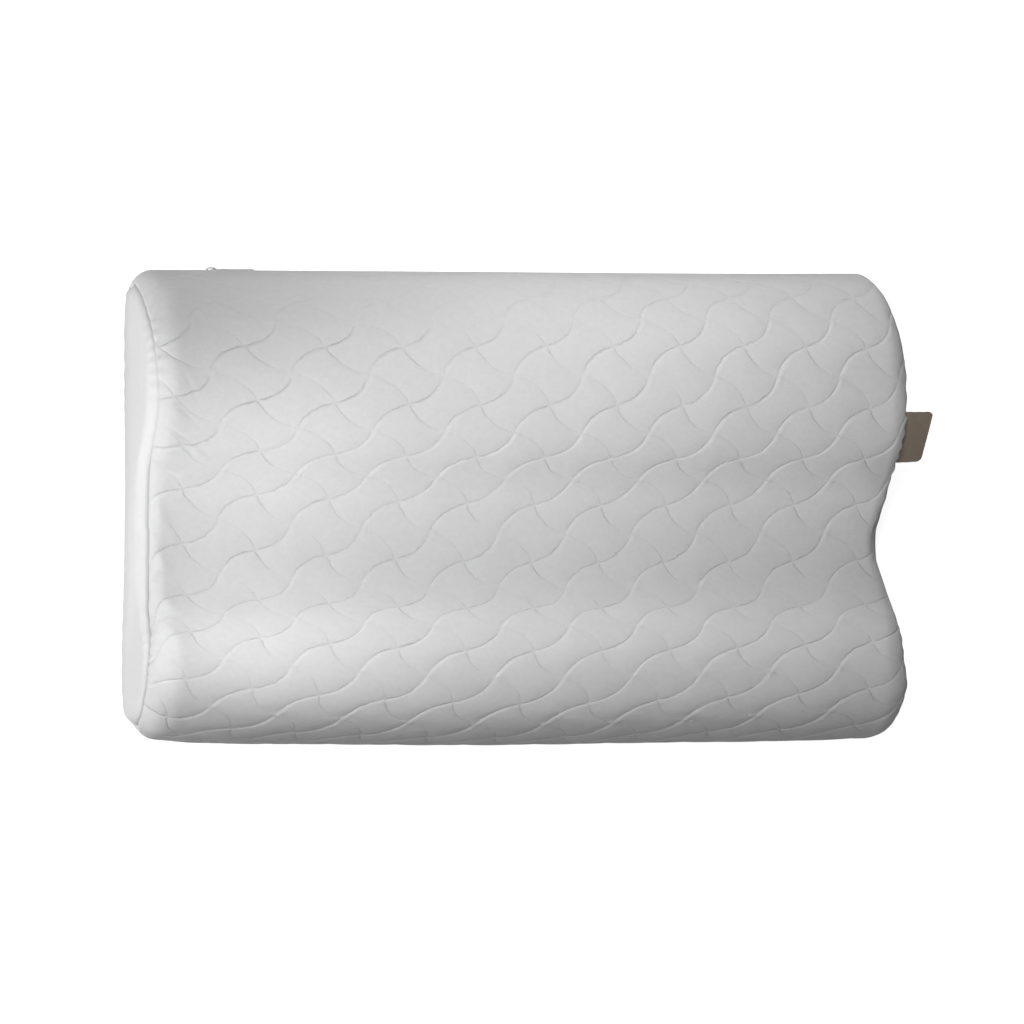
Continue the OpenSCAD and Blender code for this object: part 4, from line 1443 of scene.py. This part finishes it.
def label_points(sgn):
    out_ = np.zeros((len(yy), len(path), 3))
    for i, w in enumerate(yy):
        q = w / (LAB_W / 2)
        p = path + nrm_ * sgn * 0.15
        round_, side_ = 2.8, LAB_W / 2 - abs(w)
        cut = round_ - math.sqrt(max(round_ ** 2 - max(round_ - side_, 0.0) ** 2, 0.0))
        stretch = 1 - cut / LAB_OUT - 0.015 * abs(q) ** 5
        x = np.where(p[:, 0] > 0, p[:, 0] * stretch, p[:, 0])
        lift = -0.0030 * np.clip(x, 0, None) ** 2 + 0.35 * math.sin(q * 1.9 + 0.4) * (np.clip(x, 0, None) / LAB_OUT) ** 1.5
        thick = p[:, 1] * (1 - 0.35 * np.clip(x / LAB_OUT, 0, 1) * (0.5 + 0.5 * math.cos(q * 3)))
        z = -LAB_DROP + thick + lift
        wy = w * (1 - 0.010 * np.clip(x, 0, None) / LAB_OUT) + 0.10 * np.sin(x * 1.1) * q
        out_[i, :, 0] = HL + 1.2 + x
        out_[i, :, 1] = LAB_Y + wy * ca - z * sa
        out_[i, :, 2] = LZ + wy * sa + z * ca
    return out_


la = label_points(-1)
lb = label_points(1)
uvl = np.stack(np.broadcast_arrays(yy[:, None], np.r_[0, np.cumsum(np.hypot(*np.diff(path, axis=0).T))][None, :]), -1)
label = slab("side_label_ribbon", lb, la, uv=uvl)
label.data.materials.append(M_LABEL)
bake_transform(label)
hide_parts("side_label")

# ------------------------------------------------------------------ stage, light, camera
def material_floor():
    t = Tree("pale_floor")
    obj = t.node("ShaderNodeTexCoord").outputs["Object"]
    n = t.noise(obj, 6.0, 2.0, 0.5)
    t.link(t.ramp(n, 0.2, 0.8, (0.93, 0.93, 0.93), (0.95, 0.95, 0.95)), t.bsdf.inputs["Base Color"])
    t.bsdf.inputs["Roughness"].default_value = 0.95
    t.bsdf.inputs["Specular IOR Level"].default_value = 0.0
    t.bsdf.inputs["Emission Color"].default_value = (1, 1, 1, 1)
    t.bsdf.inputs["Emission Strength"].default_value = 0.85
    return t.mat


fl = make("floor", [(-6000, -6000, -0.6), (6000, -6000, -0.6), (6000, 6000, -0.6), (-6000, 6000, -0.6)], [(0, 1, 2, 3)])
fl.data.materials.append(material_floor())
fl.visible_diffuse = False
fl.visible_glossy = False


def area_light(name, at, to, size, power):
    li = bpy.data.lights.new(name, "AREA")
    li.shape, li.size, li.energy = "RECTANGLE", size[0], power
    li.size_y = size[1]
    ob = bpy.data.objects.new(name, li)
    ob.location = at
    ob.rotation_euler = (Vector(to) - Vector(at)).to_track_quat("-Z", "Y").to_euler()
    ob.visible_camera = False
    bpy.context.scene.collection.objects.link(ob)
    return ob


area_light("key_above", (0.044, 0.116, 0.487), (0.0, 0.0, 0.05), (0.16, 0.16), 1.02)
area_light("back", (0.044, 0.576, 0.16), (0.0, 0.0, 0.05), (0.2, 0.2), 0.98)
area_light("left_above", (-0.226, -0.069, 0.235), (0.0, 0.0, 0.05), (0.08, 0.08), 0.19)
area_light("front_far", (-0.259, -2.5, 1.319), (0.0, 0.0, 0.05), (1.0, 1.0), 16.8)
area_light("left_low", (-0.9, 0.03, 0.11), (-0.1, 0.0, 0.05), (0.9, 0.3), 6.35)
area_light("right_low", (0.85, 0.42, 0.17), (0.1, 0.0, 0.05), (0.6, 0.3), 0.8)
world = bpy.data.worlds.new("studio")
bpy.context.scene.world = world
world.use_nodes = True
world.node_tree.nodes["Background"].inputs["Color"].default_value = (1, 1, 1, 1)
world.node_tree.nodes["Background"].inputs["Strength"].default_value = 0.03
bpy.context.scene.view_settings.view_transform = "Standard"

AZ, EL, ROLL, DIST = math.radians(-71.2803), math.radians(73.1665), math.radians(70.5554), 7000.0
back_dir = Vector((math.sin(AZ) * math.cos(EL), -math.cos(AZ) * math.cos(EL), math.sin(EL)))
pos = Vector((-0.33, -4.43, 40.0)) + back_dir * DIST
r0 = (-back_dir).cross(Vector((0, 0, 1))).normalized()
u0 = r0.cross(-back_dir)
r2 = r0 * math.cos(ROLL) + u0 * math.sin(ROLL)
u2 = -r0 * math.sin(ROLL) + u0 * math.cos(ROLL)
cam = bpy.data.cameras.new("camera")
cam.sensor_width, cam.lens = 36.0, 10990.24 * 36.0 / 1024.0
cam.clip_start, cam.clip_end = 0.05, 50.0
co = bpy.data.objects.new("camera", cam)
m = [[r2[i], u2[i], back_dir[i], pos[i] * MM] for i in range(3)] + [[0, 0, 0, 1]]
from mathutils import Matrix
co.matrix_world = Matrix(m)
bpy.context.scene.collection.objects.link(co)
bpy.context.scene.camera = co
